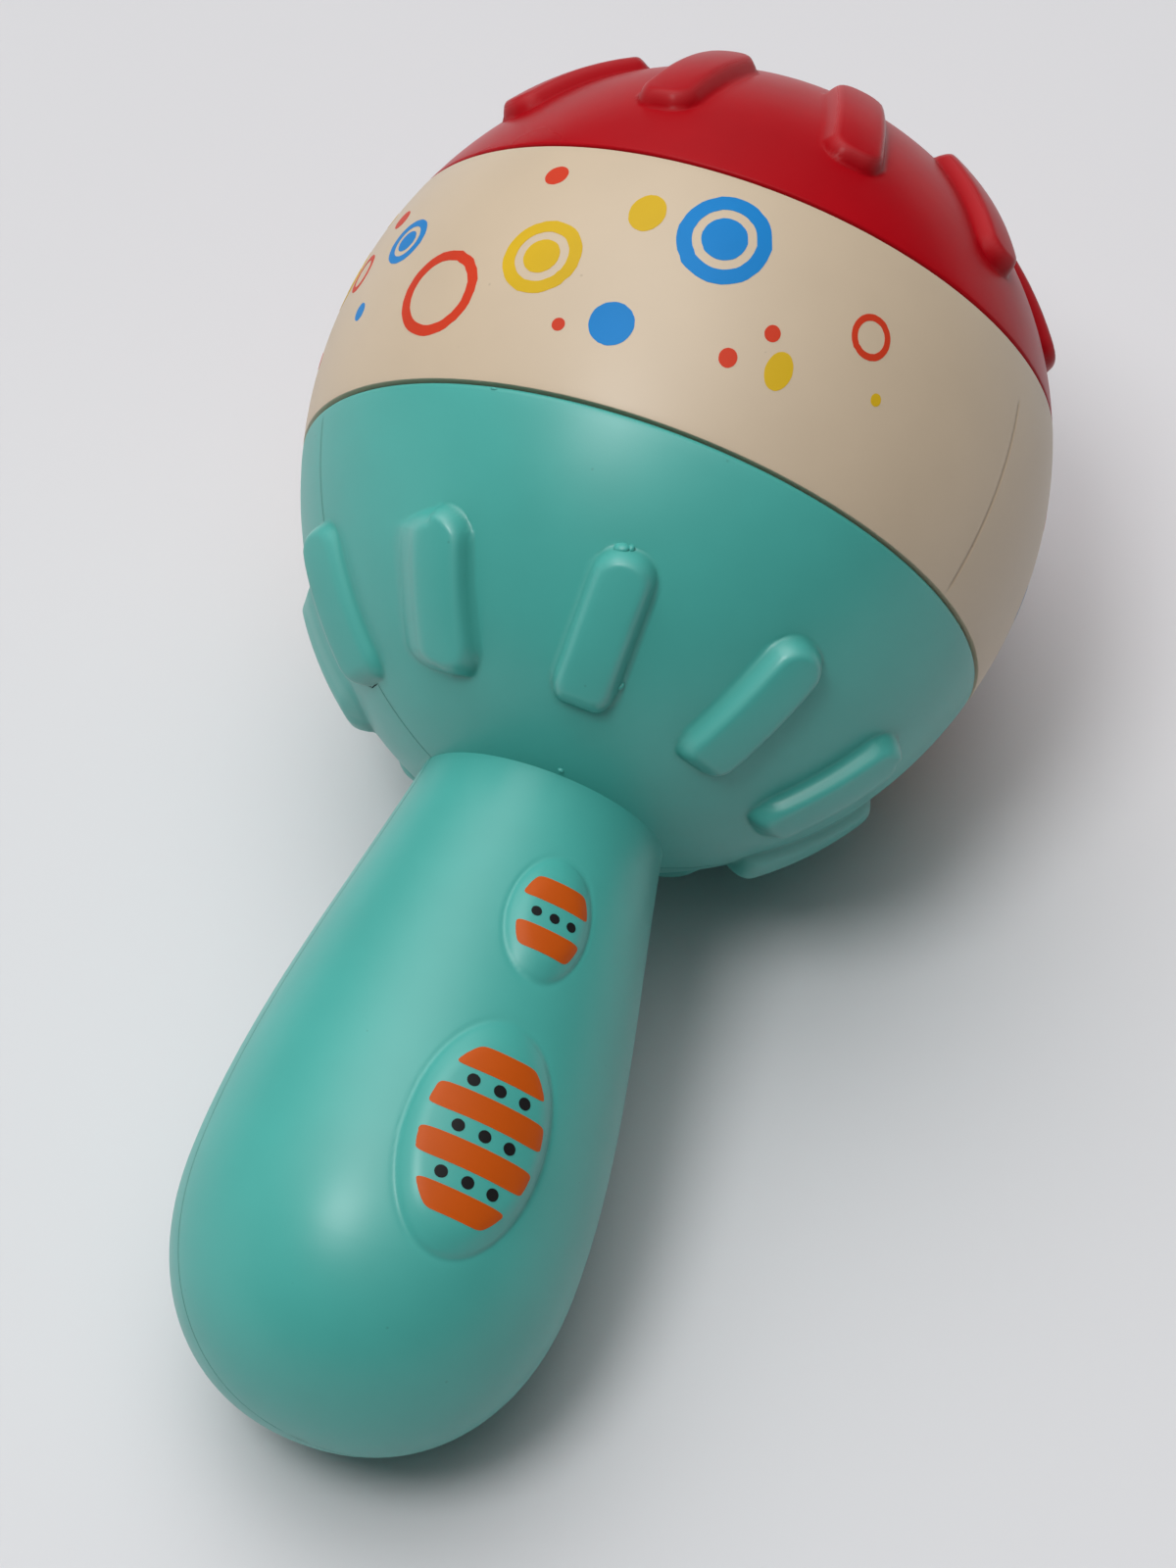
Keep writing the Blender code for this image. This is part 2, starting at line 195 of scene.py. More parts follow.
def math_node(tree, operation, *values):
    """The output of a Math node that takes numbers and outputs of other nodes."""
    node = tree.nodes.new("ShaderNodeMath")
    node.operation = operation
    for socket, value in zip(node.inputs, values):
        feed(tree, socket, value)
    return node.outputs[0]


away = Vector((forward.x, forward.y, 0.0)).normalized()
world = bpy.data.worlds.new("soft_sky")
world.use_nodes = True
sky = world.node_tree
sky_direction = sky.nodes.new("ShaderNodeTexCoord").outputs["Generated"]
brightness = 0.0
for to_left, to_far, to_sky, level in GLOWS.values():
    towards = sky.nodes.new("ShaderNodeVectorMath")
    towards.operation = "DOT_PRODUCT"
    towards.inputs[1].default_value = (
        -to_left * right + to_far * away + Vector((0.0, 0.0, to_sky))
    ).normalized()
    feed(sky, towards.inputs[0], sky_direction)
    facing = math_node(sky, "MAXIMUM", towards.outputs["Value"], 0.0)
    glow = math_node(sky, "MULTIPLY", math_node(sky, "POWER", facing, GLOW_POWER), level)
    brightness = math_node(sky, "ADD", brightness, glow)
background = sky.nodes["Background"]
feed(sky, background.inputs["Color"], (1.0, 1.0, 1.0, 1.0))
feed(sky, background.inputs["Strength"], brightness)
SCENE.world = world
SCENE.view_settings.view_transform = "Standard"
print("sky:", ", ".join(GLOWS))

# %% Lamp
LAMP_FROM = (0.344, -0.289, 1.113)  # left of the head, away from the camera and up, in metres
LAMP_WIDTH = 0.40
LAMP_WATTS = 4.4

lamp_data = bpy.data.lights.new("lamp", "AREA")
lamp_data.shape = "DISK"
lamp_data.size = LAMP_WIDTH
lamp_data.energy = LAMP_WATTS
lamp = add_object("lamp", lamp_data)
from_head = -LAMP_FROM[0] * right + LAMP_FROM[1] * away + Vector((0.0, 0.0, LAMP_FROM[2]))
lamp.location = head_centre + from_head
lamp.rotation_euler = (-from_head).to_track_quat("-Z", "Y").to_euler()
print("lamp at", [round(c, 2) for c in lamp.location], LAMP_WATTS, "W")

# %% [markdown]
# ## A short way to write node trees
#
# Geometry Nodes are usually wired by hand. In a script, long formulas made of Math nodes are hard
# to read, so a small helper lets a formula be written as a formula: each sign used on a `Term`
# adds one Math node to the tree. A `Tree` also keeps the identifier of each named input, because
# a modifier's input is set by its identifier.

# %% Terms of a formula
def sign(operation, swapped=False):
    """What a sign between two terms does: it adds a Math node to their tree."""

    def add_node(self, other):
        values = (other, self) if swapped else (self, other)
        return self.tree.math(operation, *values)

    return add_node


class Term:
    """An output of a node. Signs used on it add Math nodes to its tree."""

    def __init__(self, tree, socket):
        self.tree = tree
        self.socket = socket

    def __abs__(self):
        return self.tree.math("ABSOLUTE", self)

    __add__ = __radd__ = sign("ADD")
    __mul__ = __rmul__ = sign("MULTIPLY")
    __sub__ = sign("SUBTRACT")
    __rsub__ = sign("SUBTRACT", swapped=True)
    __truediv__ = sign("DIVIDE")
    __rtruediv__ = sign("DIVIDE", swapped=True)
    __pow__ = sign("POWER")
    __lt__ = sign("LESS_THAN")
    __gt__ = sign("GREATER_THAN")


# %% A tree with named inputs
class Tree:
    """A Geometry Nodes tree that takes a mesh and named sizes and gives a mesh."""

    def __init__(self, name):
        self.group = bpy.data.node_groups.new(name, "GeometryNodeTree")
        self.identifiers = {}
        for way in ("INPUT", "OUTPUT"):
            self.group.interface.new_socket(
                "Geometry", in_out=way, socket_type="NodeSocketGeometry"
            )
        self.start = self.group.nodes.new("NodeGroupInput")
        self.end = self.group.nodes.new("NodeGroupOutput")
        self.geometry = Term(self, self.start.outputs["Geometry"])

    def input(self, name, kind="Float"):
        """A named input of the tree."""
        socket = self.group.interface.new_socket(
            name, in_out="INPUT", socket_type="NodeSocket" + kind
        )
        self.identifiers[name] = socket.identifier
        return Term(self, self.start.outputs[name])

    def inputs(self, *names, kind="Float"):
        return [self.input(name, kind) for name in names]

    def feed(self, socket, value):
        feed(self.group, socket, value.socket if isinstance(value, Term) else value)

    def put(self, kind, *values, **settings):
        """Adds a node, feeds its inputs in order and gives its first output.

        The order differs from node to node: Set Position takes a selection before the position,
        but Transform Geometry takes the translation straight after the geometry.
        """
        node = self.group.nodes.new(kind)
        for key, setting in settings.items():
            setattr(node, key, setting)
        for socket, value in zip([s for s in node.inputs if s.enabled], values):
            self.feed(socket, value)
        return Term(self, next(s for s in node.outputs if s.enabled))

    def math(self, operation, *values):
        return self.put("ShaderNodeMath", *values, operation=operation)

    def clamp(self, value):
        return self.put("ShaderNodeClamp", value, 0.0, 1.0)

    def vector(self, operation, *values):
        return self.put("ShaderNodeVectorMath", *values, operation=operation)

    def split(self, vector):
        """The three parts of a vector."""
        node = self.group.nodes.new("ShaderNodeSeparateXYZ")
        self.feed(node.inputs[0], vector)
        return [Term(self, s) for s in node.outputs]

    def join(self, *parts):
        return self.put("ShaderNodeCombineXYZ", *parts)

    def attribute(self, name, kind="FLOAT"):
        return self.put("GeometryNodeInputNamedAttribute", name, data_type=kind)

    def store(self, geometry, name, value, kind="FLOAT"):
        return self.put(
            "GeometryNodeStoreNamedAttribute", geometry, None, name, value,
            data_type=kind, domain="POINT",
        )

    def finish(self, geometry, finish):
        """Ends the tree as a real mesh with a finish on it."""
        real = self.put("GeometryNodeRealizeInstances", geometry)
        smooth = self.put("GeometryNodeSetShadeSmooth", real, None, True)
        dressed = self.put("GeometryNodeSetMaterial", smooth, None, finish)
        self.feed(self.end.inputs["Geometry"], dressed)

    def make(self, name, start, **values):
        """Runs the tree on a mesh with these values and returns the result as a plain mesh."""
        piece = add_object(name, start)
        modifier = piece.modifiers.new(self.group.name, "NODES")
        modifier.node_group = self.group
        for key, value in values.items():
            modifier[self.identifiers[key.replace("_", " ")]] = value
        evaluated = piece.evaluated_get(bpy.context.evaluated_depsgraph_get())
        mesh = bpy.data.meshes.new_from_object(evaluated)
        mesh.name = name
        mesh.materials.clear()
        mesh.materials.append(values["Finish"])
        mesh.polygons.foreach_set("material_index", [0] * len(mesh.polygons))
        piece.modifiers.remove(modifier)
        bpy.data.objects.remove(piece)
        bpy.data.meshes.remove(start)
        print(name, len(mesh.vertices), "points", len(mesh.polygons), "faces")
        return mesh


# %% [markdown]
# ## Turned outlines
#
# The shells, the ring and the cap are all turned round the maraca's axis. Each begins as its
# outline: a chain of points from its lower end to its upper end. Every point also knows the
# matching point on the inner wall, how far along the outline it lies, and whether the columns of
# the turned skin crowd together there, at the ribs (1) or at the handle's bosses (-1).

# %% Points of an outline
def head_point(latitude, inset=0.0):
    reach = (HEAD_UP if latitude > 0.0 else HEAD_DOWN) - inset
    return Vector(((HEAD_R - inset) * math.cos(latitude), 0.0, reach * math.sin(latitude)))


def latitude_of(height):
    return math.asin(height / (HEAD_UP if height > 0.0 else HEAD_DOWN))


def uneven_steps(start, end, coarse, fine, places, reach):
    """Values from start to end that lie closer together within reach of some places."""
    values = [start]
    while values[-1] < end:
        near = any(abs(values[-1] - place) < reach for place in places)
        values.append(values[-1] + (fine if near else coarse))
    return np.interp(values, (values[0], values[-1]), (start, end))


def outline_mesh(name, points):
    """A chain mesh of (outer point, inner point, crowd), with these kept as attributes."""
    outer = np.array([p[0] for p in points])
    mesh = bpy.data.meshes.new(name)
    mesh.from_pydata(outer.tolist(), [(i, i + 1) for i in range(len(points) - 1)], [])
    lengths = np.linalg.norm(np.diff(outer, axis=0), axis=1)
    run = np.concatenate(([0.0], np.cumsum(lengths)))
    inner = np.array([p[1] for p in points])
    mesh.attributes.new("inside", "FLOAT_VECTOR", "POINT").data.foreach_set("vector", inner.ravel())
    mesh.attributes.new("run", "FLOAT", "POINT").data.foreach_set("value", run)
    crowd = [p[2] for p in points]
    mesh.attributes.new("crowd", "FLOAT", "POINT").data.foreach_set("value", crowd)
    return mesh, run, outer


# %% [markdown]
# ## One tree for every turned moulding
#
# Turning an outline is one rule, and the ribs repeat on it, so Geometry Nodes make the skin. A
# flat grid has one row for each point of the outline and its columns run round the axis. Each
# column is bent to its angle, and the skin is pushed outwards where a rib or a boss lies. A rib
# is a rounded box seen from above: the distance to its edge drives a shoulder that rises from a
# tight root and rolls over into a flat top. The ribs could also be separate blocks joined by a
# Boolean, but then there would be no soft root, and the two shells would be cut badly where the
# seam steps round a rib.
#
# A mould opens in one direction, and nothing on the moulding may hook into it. So a rib that is
# turned away from that direction has a gentle wall on its far side and a steep one on its near
# side, its lower end is gentle, and the two ribs that lie on the seam have tilted tops.

# %% Inputs of the turned skin
skin = Tree("turned_skin")
bars, columns, rows = skin.inputs("Bars", "Columns For A Bar", "Outline Points", kind="Int")
first_angle, draw_angle, boss_angle = skin.inputs("First Angle", "Draw Angle", "Boss Angle")
bar_place, bar_length = skin.inputs("Bar Place", "Bar Length")
bar_width, bar_raise = skin.inputs("Bar Width", "Bar Raise")
low_corner, high_corner = skin.inputs("Low Corner", "High Corner")
low_gentler, side_gentler = skin.inputs("Low End Gentler", "Far Wall Gentler")
side_steeper, seam_tilt = skin.inputs("Near Wall Steeper", "Seam Bar Tilt")
shoulder, foot, boss_shoulder = skin.inputs("Shoulder", "Foot", "Boss Shoulder")
zone, zone_share = skin.inputs("Crowded Half Width", "Crowded Share")
boss_sizes = [
    skin.inputs(*(f"{which} Boss {what}" for what in ("Place", "Half Long", "Half Wide", "Raise")))
    for which in ("Small", "Large")
]
side, tab_margin = skin.inputs("Side", "Tab Margin")
skin_finish = skin.input("Finish", "Material")

# %% Rows from the outline, columns round the axis
SHOULDER_AT = 0.55  # of the crowded width, where the columns lie closest
SHOULDER_POWER = 1.6
ZONE_MOST = 0.8  # of the way to the next rib, that the crowded columns may take up
BOSS_CROWD = 0.25  # how far the columns of the handle are drawn towards the bosses
grid = skin.put("GeometryNodeMeshGrid", bars, rows - 1.0, bars * columns + 1.0, rows)
x, y, _ = skin.split(skin.put("GeometryNodeInputPosition"))
row = skin.math("ROUND", y + 0.5 * (rows - 1.0) + 0.1)


def along_outline(value, kind):
    return skin.put(
        "GeometryNodeSampleIndex", skin.geometry, value, row,
        data_type=kind, domain="POINT", clamp=True,
    )


outer = along_outline(skin.put("GeometryNodeInputPosition"), "FLOAT_VECTOR")
inner = along_outline(skin.attribute("inside", "FLOAT_VECTOR"), "FLOAT_VECTOR")
run = along_outline(skin.attribute("run"), "FLOAT")
crowd = along_outline(skin.attribute("crowd"), "FLOAT")
radius, _, height = skin.split(outer)
inner_radius, _, inner_height = skin.split(inner)

bar_index = skin.math("ROUND", x)
offset = x - bar_index
share = 2.0 * abs(offset)
half_arc = math.pi * radius / bars
crowded_arc = skin.math("MINIMUM", zone, ZONE_MOST * half_arc)
in_zone = share / zone_share
before = 1.0 - (1.0 - skin.clamp(in_zone / SHOULDER_AT)) ** SHOULDER_POWER
after = skin.clamp((in_zone - SHOULDER_AT) / (1.0 - SHOULDER_AT)) ** SHOULDER_POWER
rest = skin.clamp((share - zone_share) / (1.0 - zone_share))
crowded = crowded_arc * (SHOULDER_AT * before + (1.0 - SHOULDER_AT) * after)
crowded = crowded + (half_arc - crowded_arc) * rest
at_ribs = skin.clamp(crowd)
from_bar = share * half_arc * (1.0 - at_ribs) + crowded * at_ribs
turn = skin.math("SIGN", offset) * from_bar / skin.math("MAXIMUM", radius, 1e-6)
angle = first_angle + 2.0 * math.pi * bar_index / bars + turn
from_boss = angle - boss_angle
at_bosses = skin.clamp(-1.0 * crowd)
from_boss = from_boss - BOSS_CROWD * at_bosses * skin.math("SINE", 2.0 * from_boss)
angle = boss_angle + from_boss

# %% Ribs: the distance to the edge of a rounded box
GENTLE_FROM = math.radians(30.0)  # off the way the mould opens, where a rib's far wall leans more
GENTLE_FULL = math.radians(54.0)
FAR_SHIFT = 0.55 * MM  # of the top edge of such a wall, towards the middle of its rib
STEEP_FROM = 2.6 * MM  # from the end of a rib, where its near wall is at its steepest
STEEP_TO = 0.6 * MM
STEEP_ASIDE = 0.4  # of the half width, from where on a near wall is steep
along_bar = run - bar_place
is_high = along_bar > 0.0
corner = low_corner + (high_corner - low_corner) * is_high
half_width = 0.5 * bar_width
half_length = 0.5 * bar_length
from_draw = first_angle + 2.0 * math.pi * bar_index / bars - draw_angle
turned_away = skin.math("SIGN", offset) * from_draw
is_seam_bar = abs(bar_index * (abs(bar_index) - 0.5 * bars)) < 0.5
gentle = skin.clamp((turned_away - GENTLE_FROM) / (GENTLE_FULL - GENTLE_FROM))
steep = skin.clamp((-1.0 * turned_away - GENTLE_FROM) / (GENTLE_FULL - GENTLE_FROM))
aside = skin.clamp(from_bar / half_width)
steep = steep * skin.clamp((aside - STEEP_ASIDE) / (1.0 - STEEP_ASIDE)) * (1.0 - is_seam_bar)
steep = steep * skin.clamp((half_length - abs(along_bar) - STEEP_TO) / (STEEP_FROM - STEEP_TO))
gentle = gentle * (1.0 - is_seam_bar)
wider = 1.0 + side_gentler * gentle
longer = 1.0 + low_gentler * (1.0 - is_high)
fixed_x = half_width + foot - shoulder
top_y = half_length - 0.5 * shoulder
box_x = (from_bar - fixed_x + FAR_SHIFT * gentle) / wider + fixed_x - half_width + corner
box_y = (abs(along_bar) - top_y) / longer + top_y - half_length + corner
out_x = skin.math("MAXIMUM", box_x, 0.0)
out_y = skin.math("MAXIMUM", box_y, 0.0)
outside = skin.math("SQRT", out_x * out_x + out_y * out_y)
within = skin.math("MINIMUM", skin.math("MAXIMUM", box_x, box_y), 0.0)
from_edge = corner - outside - within

# %% Ribs: a shoulder that rises from the edge
ROOT_SHARE = 0.22  # of the shoulder, where it curves out of the skin
TOP_SHARE = 0.42  # of the rise, where it rolls over into the top
CROWN_SHARE = 0.14  # of the raise, by which the middle of a top stands over its sides
SEAM_BAR_LOWER = 0.7  # of the tilt of a bar on the seam, by which all of it is lower
# painted shade on the floor of an inward groove, such as the mould line of the ring
GROOVE_SHADE = 2.0
SHEEN_AT = 0.45  # of the shoulder, where it gets a painted highlight and handling polishes it
ROOT_SHADE_AT = 0.15 * MM  # outside the edge, where painted shade darkens the root of a rib
ROOT_SHADE_WIDTH = 0.45 * MM
ANY = 1e6  # so large that any raise times this is over 1


def shoulder_rise(depth, width, toe, roll):
    """From 0 outside an edge to 1 inside it: a tight root, a slope and a rounded top edge."""
    share_in = skin.clamp((depth + toe) / width)
    slope = (1.0 + roll) * share_in
    rolling = skin.math("MAXIMUM", roll - abs(slope - 1.0), 0.0) / roll
    rise = skin.math("MINIMUM", slope, 1.0) - 0.25 * roll * rolling * rolling
    root = skin.clamp(share_in / ROOT_SHARE)
    root = root * root * (3.0 - 2.0 * root)
    return rise * root


bar_shoulder = shoulder * (1.0 - side_steeper * steep)
bar_rise = shoulder_rise(from_edge, bar_shoulder, foot, TOP_SHARE / wider)
crown = 1.0 + CROWN_SHARE * (1.0 - aside * aside)
tilt = 1.0 - seam_tilt * is_seam_bar * (SEAM_BAR_LOWER + skin.math("SIGN", x) * aside)
push = bar_raise * crown * tilt * bar_rise
is_rib = skin.clamp(bar_raise * ANY)
# The shoulder of a rib gets a painted highlight in its colour and a little more gloss.
sheen_and_polish = skin.clamp(1.0 - abs(from_edge - SHEEN_AT * shoulder) / (SHEEN_AT * shoulder)) * is_rib
# Painted shade: darker in the root of each rib, less on a gentle wall, and on the floor of an inward
# groove.
painted_root_shade = skin.clamp(1.0 - abs(from_edge + ROOT_SHADE_AT) / ROOT_SHADE_WIDTH) * is_rib
painted_root_shade = painted_root_shade / wider ** 2.0
painted_groove_shade = GROOVE_SHADE * bar_rise * skin.clamp(-ANY * bar_raise)

# %% Bosses: low ovals with a crease round them
CREASE_WIDTH = 0.45 * MM
CREASE_DEPTH = 0.10 * MM
DOME_SHARE = 0.35
BOSS_ROLL = 0.35
for place, half_long, half_wide, raise_by in boss_sizes:
    oval_x = from_boss * radius / half_wide
    oval_y = (run - place) / half_long
    oval = skin.math("SQRT", oval_x * oval_x + oval_y * oval_y)
    depth = (1.0 - oval) * half_wide
    rise = shoulder_rise(depth, boss_shoulder, foot, BOSS_ROLL)
    dome = skin.clamp(1.0 - oval * oval)
    bump = raise_by * ((1.0 - DOME_SHARE) * rise + DOME_SHARE * dome)
    crease = skin.clamp(1.0 - abs(depth + 0.3 * CREASE_WIDTH) / CREASE_WIDTH)
    is_there = skin.clamp(raise_by * ANY)
    push = push + (bump - CREASE_DEPTH * crease * crease) * is_there

# %% Halves of the shells
is_tab = from_edge + tab_margin > 0.0
is_front = skin.math("MAXIMUM", x > 0.0, is_tab * is_seam_bar)
not_wanted = side * (is_front - 0.5) < -0.1
part = skin.put("GeometryNodeDeleteGeometry", grid, not_wanted, domain="FACE")

# %% Bend the grid into the skin
WELD = 0.001 * MM
normal = skin.vector("NORMALIZE", skin.vector("SUBTRACT", outer, inner))
normal_out, _, normal_up = skin.split(normal)
cosine = skin.math("COSINE", angle)
sine = skin.math("SINE", angle)
pushed = radius + push * normal_out
place_on_skin = skin.join(pushed * cosine, pushed * sine, height + push * normal_up)
place_inside = skin.join(inner_radius * cosine, inner_radius * sine, inner_height)
part = skin.store(part, "inside", place_inside, "FLOAT_VECTOR")
part = skin.store(part, "sheen_and_polish", sheen_and_polish)
# the root attribute carries painted shade: rib roots, groove floors and, later, the seam
part = skin.store(part, "root", painted_root_shade + painted_groove_shade)
part = skin.put("GeometryNodeSetPosition", part, None, place_on_skin)
part = skin.put("GeometryNodeMergeByDistance", part, None, WELD)
skin.finish(part, skin_finish)
print("turned skin:", len(skin.group.nodes), "nodes")

# %% [markdown]
# ## Finishes
#
# Everything is moulded plastic with a satin skin. Such a skin is never one flat colour: the
# pigment is a little cloudy, the mould's fine texture breaks up the highlight, handling polishes
# the raised edges, which also get a painted highlight, and a few dark specks lie scattered on it.
# The tight corners, the fine grooves and the seam get painted shade. One function builds all of
# these from Object coordinates and from the attributes stored by the skin tree.

# %% A satin plastic
GRAIN = 0.16 * MM  # size of the mould's texture
CLOUD = 11.0 * MM
SPECK = 2.6 * MM
SPECK_RARE = 0.62  # the higher, the fewer specks
# colour of the dust specks and of the painted shade
DUST_AND_SHADE = (0.55, 0.50, 0.45, 1.0)
WHITE = (1.0, 1.0, 1.0, 1.0)
# how far the painted shade stored in root darkens the colour
ROOT_DARKER = 0.30
# painted highlight: how far the shoulders of the ribs are lightened towards WHITE
PAINTED_SHEEN = 0.025
RUB_GLOSSIER = 0.05


def satin_plastic(
    name, colour, roughness, specular=0.42, cloudiness=0.02, grain_height=0.006, specks=0.35
):
    """Moulded plastic with cloudy pigment, fine texture, a few specks, glossier edges with a painted
    highlight and painted shade in roots, grooves and seams.
    """
    finish = bpy.data.materials.new(name)
    finish.use_nodes = True
    tree = finish.node_tree
    shader = tree.nodes["Principled BSDF"].inputs
    place = tree.nodes.new("ShaderNodeTexCoord").outputs["Object"]

    def put(kind, output, **values):
        node = tree.nodes.new(kind)
        for key, value in values.items():
            feed(tree, node.inputs[key.replace("_", " ")], value)
        return node.outputs[output]

    def noise(scale, detail):
        return put("ShaderNodeTexNoise", "Fac", Vector=place, Scale=scale, Detail=detail)

    def ranged(value, start, end, first, last):
        return put(
            "ShaderNodeMapRange", "Result", Value=value,
            From_Min=start, From_Max=end, To_Min=first, To_Max=last,
        )

    def stored(attribute):
        node = tree.nodes.new("ShaderNodeAttribute")
        node.attribute_name = attribute
        return node.outputs["Fac"]

    def times(a, b):
        return math_node(tree, "MULTIPLY", a, b)

    def mixed(blend, factor, a, b):
        node = tree.nodes.new("ShaderNodeMix")
        node.data_type = "RGBA"
        node.blend_type = blend
        colours = [s for s in node.inputs if s.type == "RGBA"]
        for socket, value in zip((node.inputs[0], *colours), (factor, a, b)):
            feed(tree, socket, value)
        return next(s for s in node.outputs if s.type == "RGBA")

    sheen_and_polish = stored("sheen_and_polish")
    cells = put("ShaderNodeTexVoronoi", "Distance", Vector=place, Scale=1.0 / SPECK)
    chance = math_node(tree, "GREATER_THAN", noise(0.7 / SPECK, 0.0), SPECK_RARE)
    speck = times(ranged(cells, 0.035, 0.06, 1.0, 0.0), chance)

    dark = [c * (1.0 - 2.0 * cloudiness) for c in colour] + [1.0]
    light = [min(1.0, c * (1.0 + 2.0 * cloudiness)) for c in colour] + [1.0]
    base = mixed("MIX", ranged(noise(1.0 / CLOUD, 3.0), 0.3, 0.7, 0.0, 1.0), dark, light)
    # painted shade in the roots of the ribs, the floors of the grooves and along the seam
    base = mixed("MULTIPLY", times(stored("root"), ROOT_DARKER), base, DUST_AND_SHADE)
    # painted highlight on the shoulders of the ribs
    base = mixed("MIX", times(sheen_and_polish, PAINTED_SHEEN), base, WHITE)
    base = mixed("MULTIPLY", times(speck, specks), base, DUST_AND_SHADE)
    feed(tree, shader["Base Color"], base)

    smear = noise(0.4 / CLOUD, 4.0)
    gloss = ranged(smear, 0.3, 0.7, roughness - 0.04, roughness + 0.05)
    gloss = math_node(tree, "SUBTRACT", gloss, times(sheen_and_polish, RUB_GLOSSIER))
    feed(tree, shader["Roughness"], gloss)
    grain = noise(1.0 / GRAIN, 1.5)
    bump = put("ShaderNodeBump", "Normal", Strength=0.5, Distance=grain_height * MM, Height=grain)
    feed(tree, shader["Normal"], bump)
    feed(tree, shader["IOR"], 1.5)
    feed(tree, shader["Specular IOR Level"], specular)
    return finish


TURQUOISE = (0.070, 0.414, 0.366)
CREAM = (0.618, 0.495, 0.357)
CAP_RED = (0.410, 0.004, 0.009)
turquoise = satin_plastic("turquoise_satin", TURQUOISE, 0.37, specular=0.55)
cream = satin_plastic("cream_satin", CREAM, 0.40, specular=0.48, cloudiness=0.012)
red = satin_plastic("red_satin", CAP_RED, 0.30, specular=0.09, cloudiness=0.03)
print("finishes:", turquoise.name, cream.name, red.name)

# %% [markdown]
# ## From skin to moulding
#
# The tree gives a skin without thickness. A real moulding has a wall, and its edge shows at the
# joints, so each skin gets an inner copy on the points kept in `inside`, turned to face the other
# way, and a strip of faces round every open edge. Where two shells meet, their edge is drawn back
# by less than a tenth of a millimetre, which leaves the fine line of a real seam, and painted shade
# darkens the edge along it.

# %% Give a skin its wall
SEAM_BACK = 0.06 * MM
SEAM_SHADE = 1.3
SHARP_FROM = math.radians(58.0)
CREASE_NEAR = 0.08 * MM


def moulding(mesh, rim_height=None, crease_height=None):
    """A closed moulding from a skin. Open edges under rim_height are a seam."""
    shape = bmesh.new()
    shape.from_mesh(mesh)
    inside = shape.verts.layers.float_vector["inside"]
    root = shape.verts.layers.float["root"]
    outer_points = list(shape.verts)
    outer_faces = list(shape.faces)
    edges = [e for e in shape.edges if e.is_boundary]
    twin = {v: shape.verts.new(v[inside]) for v in outer_points}
    moves = {}
    for point in {v for e in edges for v in e.verts}:
        if rim_height is None or point.co.z > rim_height:
            continue
        middle = sum((f.calc_center_median() for f in point.link_faces), Vector())
        back = middle / len(point.link_faces) - point.co
        inwards = (point[inside] - point.co).normalized()
        back -= back.dot(inwards) * inwards
        moves[point] = SEAM_BACK * back.normalized()
    for point, back in moves.items():
        point.co += back
        # painted shade along the seam, through the same attribute as the shade in the roots of the
        # ribs
        point[root] = SEAM_SHADE
        twin[point].co += back
    for face in outer_faces:
        copy = shape.faces.new([twin[v] for v in reversed(face.verts)])
        copy.smooth = True
    for edge in edges:
        a = edge.link_loops[0].vert
        b = edge.other_vert(a)
        shape.faces.new((b, a, twin[a], twin[b]))
        edge.smooth = False
        shape.edges.get((twin[a], twin[b])).smooth = False
    if crease_height is not None:
        for edge in shape.edges:
            if all(abs(v.co.z - crease_height) < CREASE_NEAR for v in edge.verts):
                edge.smooth = False
    bmesh.ops.remove_doubles(shape, verts=list(twin.values()), dist=0.0001 * MM)
    shape.to_mesh(mesh)
    shape.free()
    return mesh


def place_piece(name, mesh, body, nodes):
    """Lays a finished mesh down in the frame, in place of its plain solid."""
    mesh.transform(LAY)
    piece = add_object(name, mesh)
    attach(piece, body)
    if nodes:
        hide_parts(*nodes)
    mesh.calc_loop_triangles()
    print(name, "rides on", body, "with", len(mesh.loop_triangles), "triangles")
    return piece


# %% [markdown]
# ## Turquoise shells
#
# The handle and the lower bowl are two mouldings that meet in a seam along the side. Their
# outline starts at the end of the handle, swells to the bulb, narrows to the neck, turns sharply
# there into the bowl and ends in a rounded rim. Behind the neck the inner wall closes to a floor
# that keeps the beads in the head. The ribs of the front shell stand out a little further than
# those of the rear shell and of the cap.

# %% Outline of the handle
SHAFT_STEP = 0.31 * MM
END_COARSE = 0.05  # steps round the end, in radians
END_FINE = 0.011
BOSS_ON_END = 0.27  # how far the large boss reaches round the end
GAP = 0.3 * MM
RECESS = 0.5 * (WALL - GAP)
FLOOR_BELOW = HEAD_DOWN + NECK


def shaft_r(below):
    part_way = below / SHAFT
    start = NECK_FLARE * SHAFT / (BULB_R - NECK_R)
    blend = start * part_way + (3.0 - 2.0 * start) * part_way**2 + (start - 2.0) * part_way**3
    return NECK_R + (BULB_R - NECK_R) * blend


def end_point(angle, inset=0.0):
    outwards = math.cos(angle) ** (2.0 / BULB_SQUARE) if angle < 0.5 * math.pi else 0.0
    along = math.sin(angle) ** (2.0 / BULB_SQUARE)
    return Vector(((BULB_R - inset) * outwards, 0.0, NECK - SHAFT - (BULB_END - inset) * along))


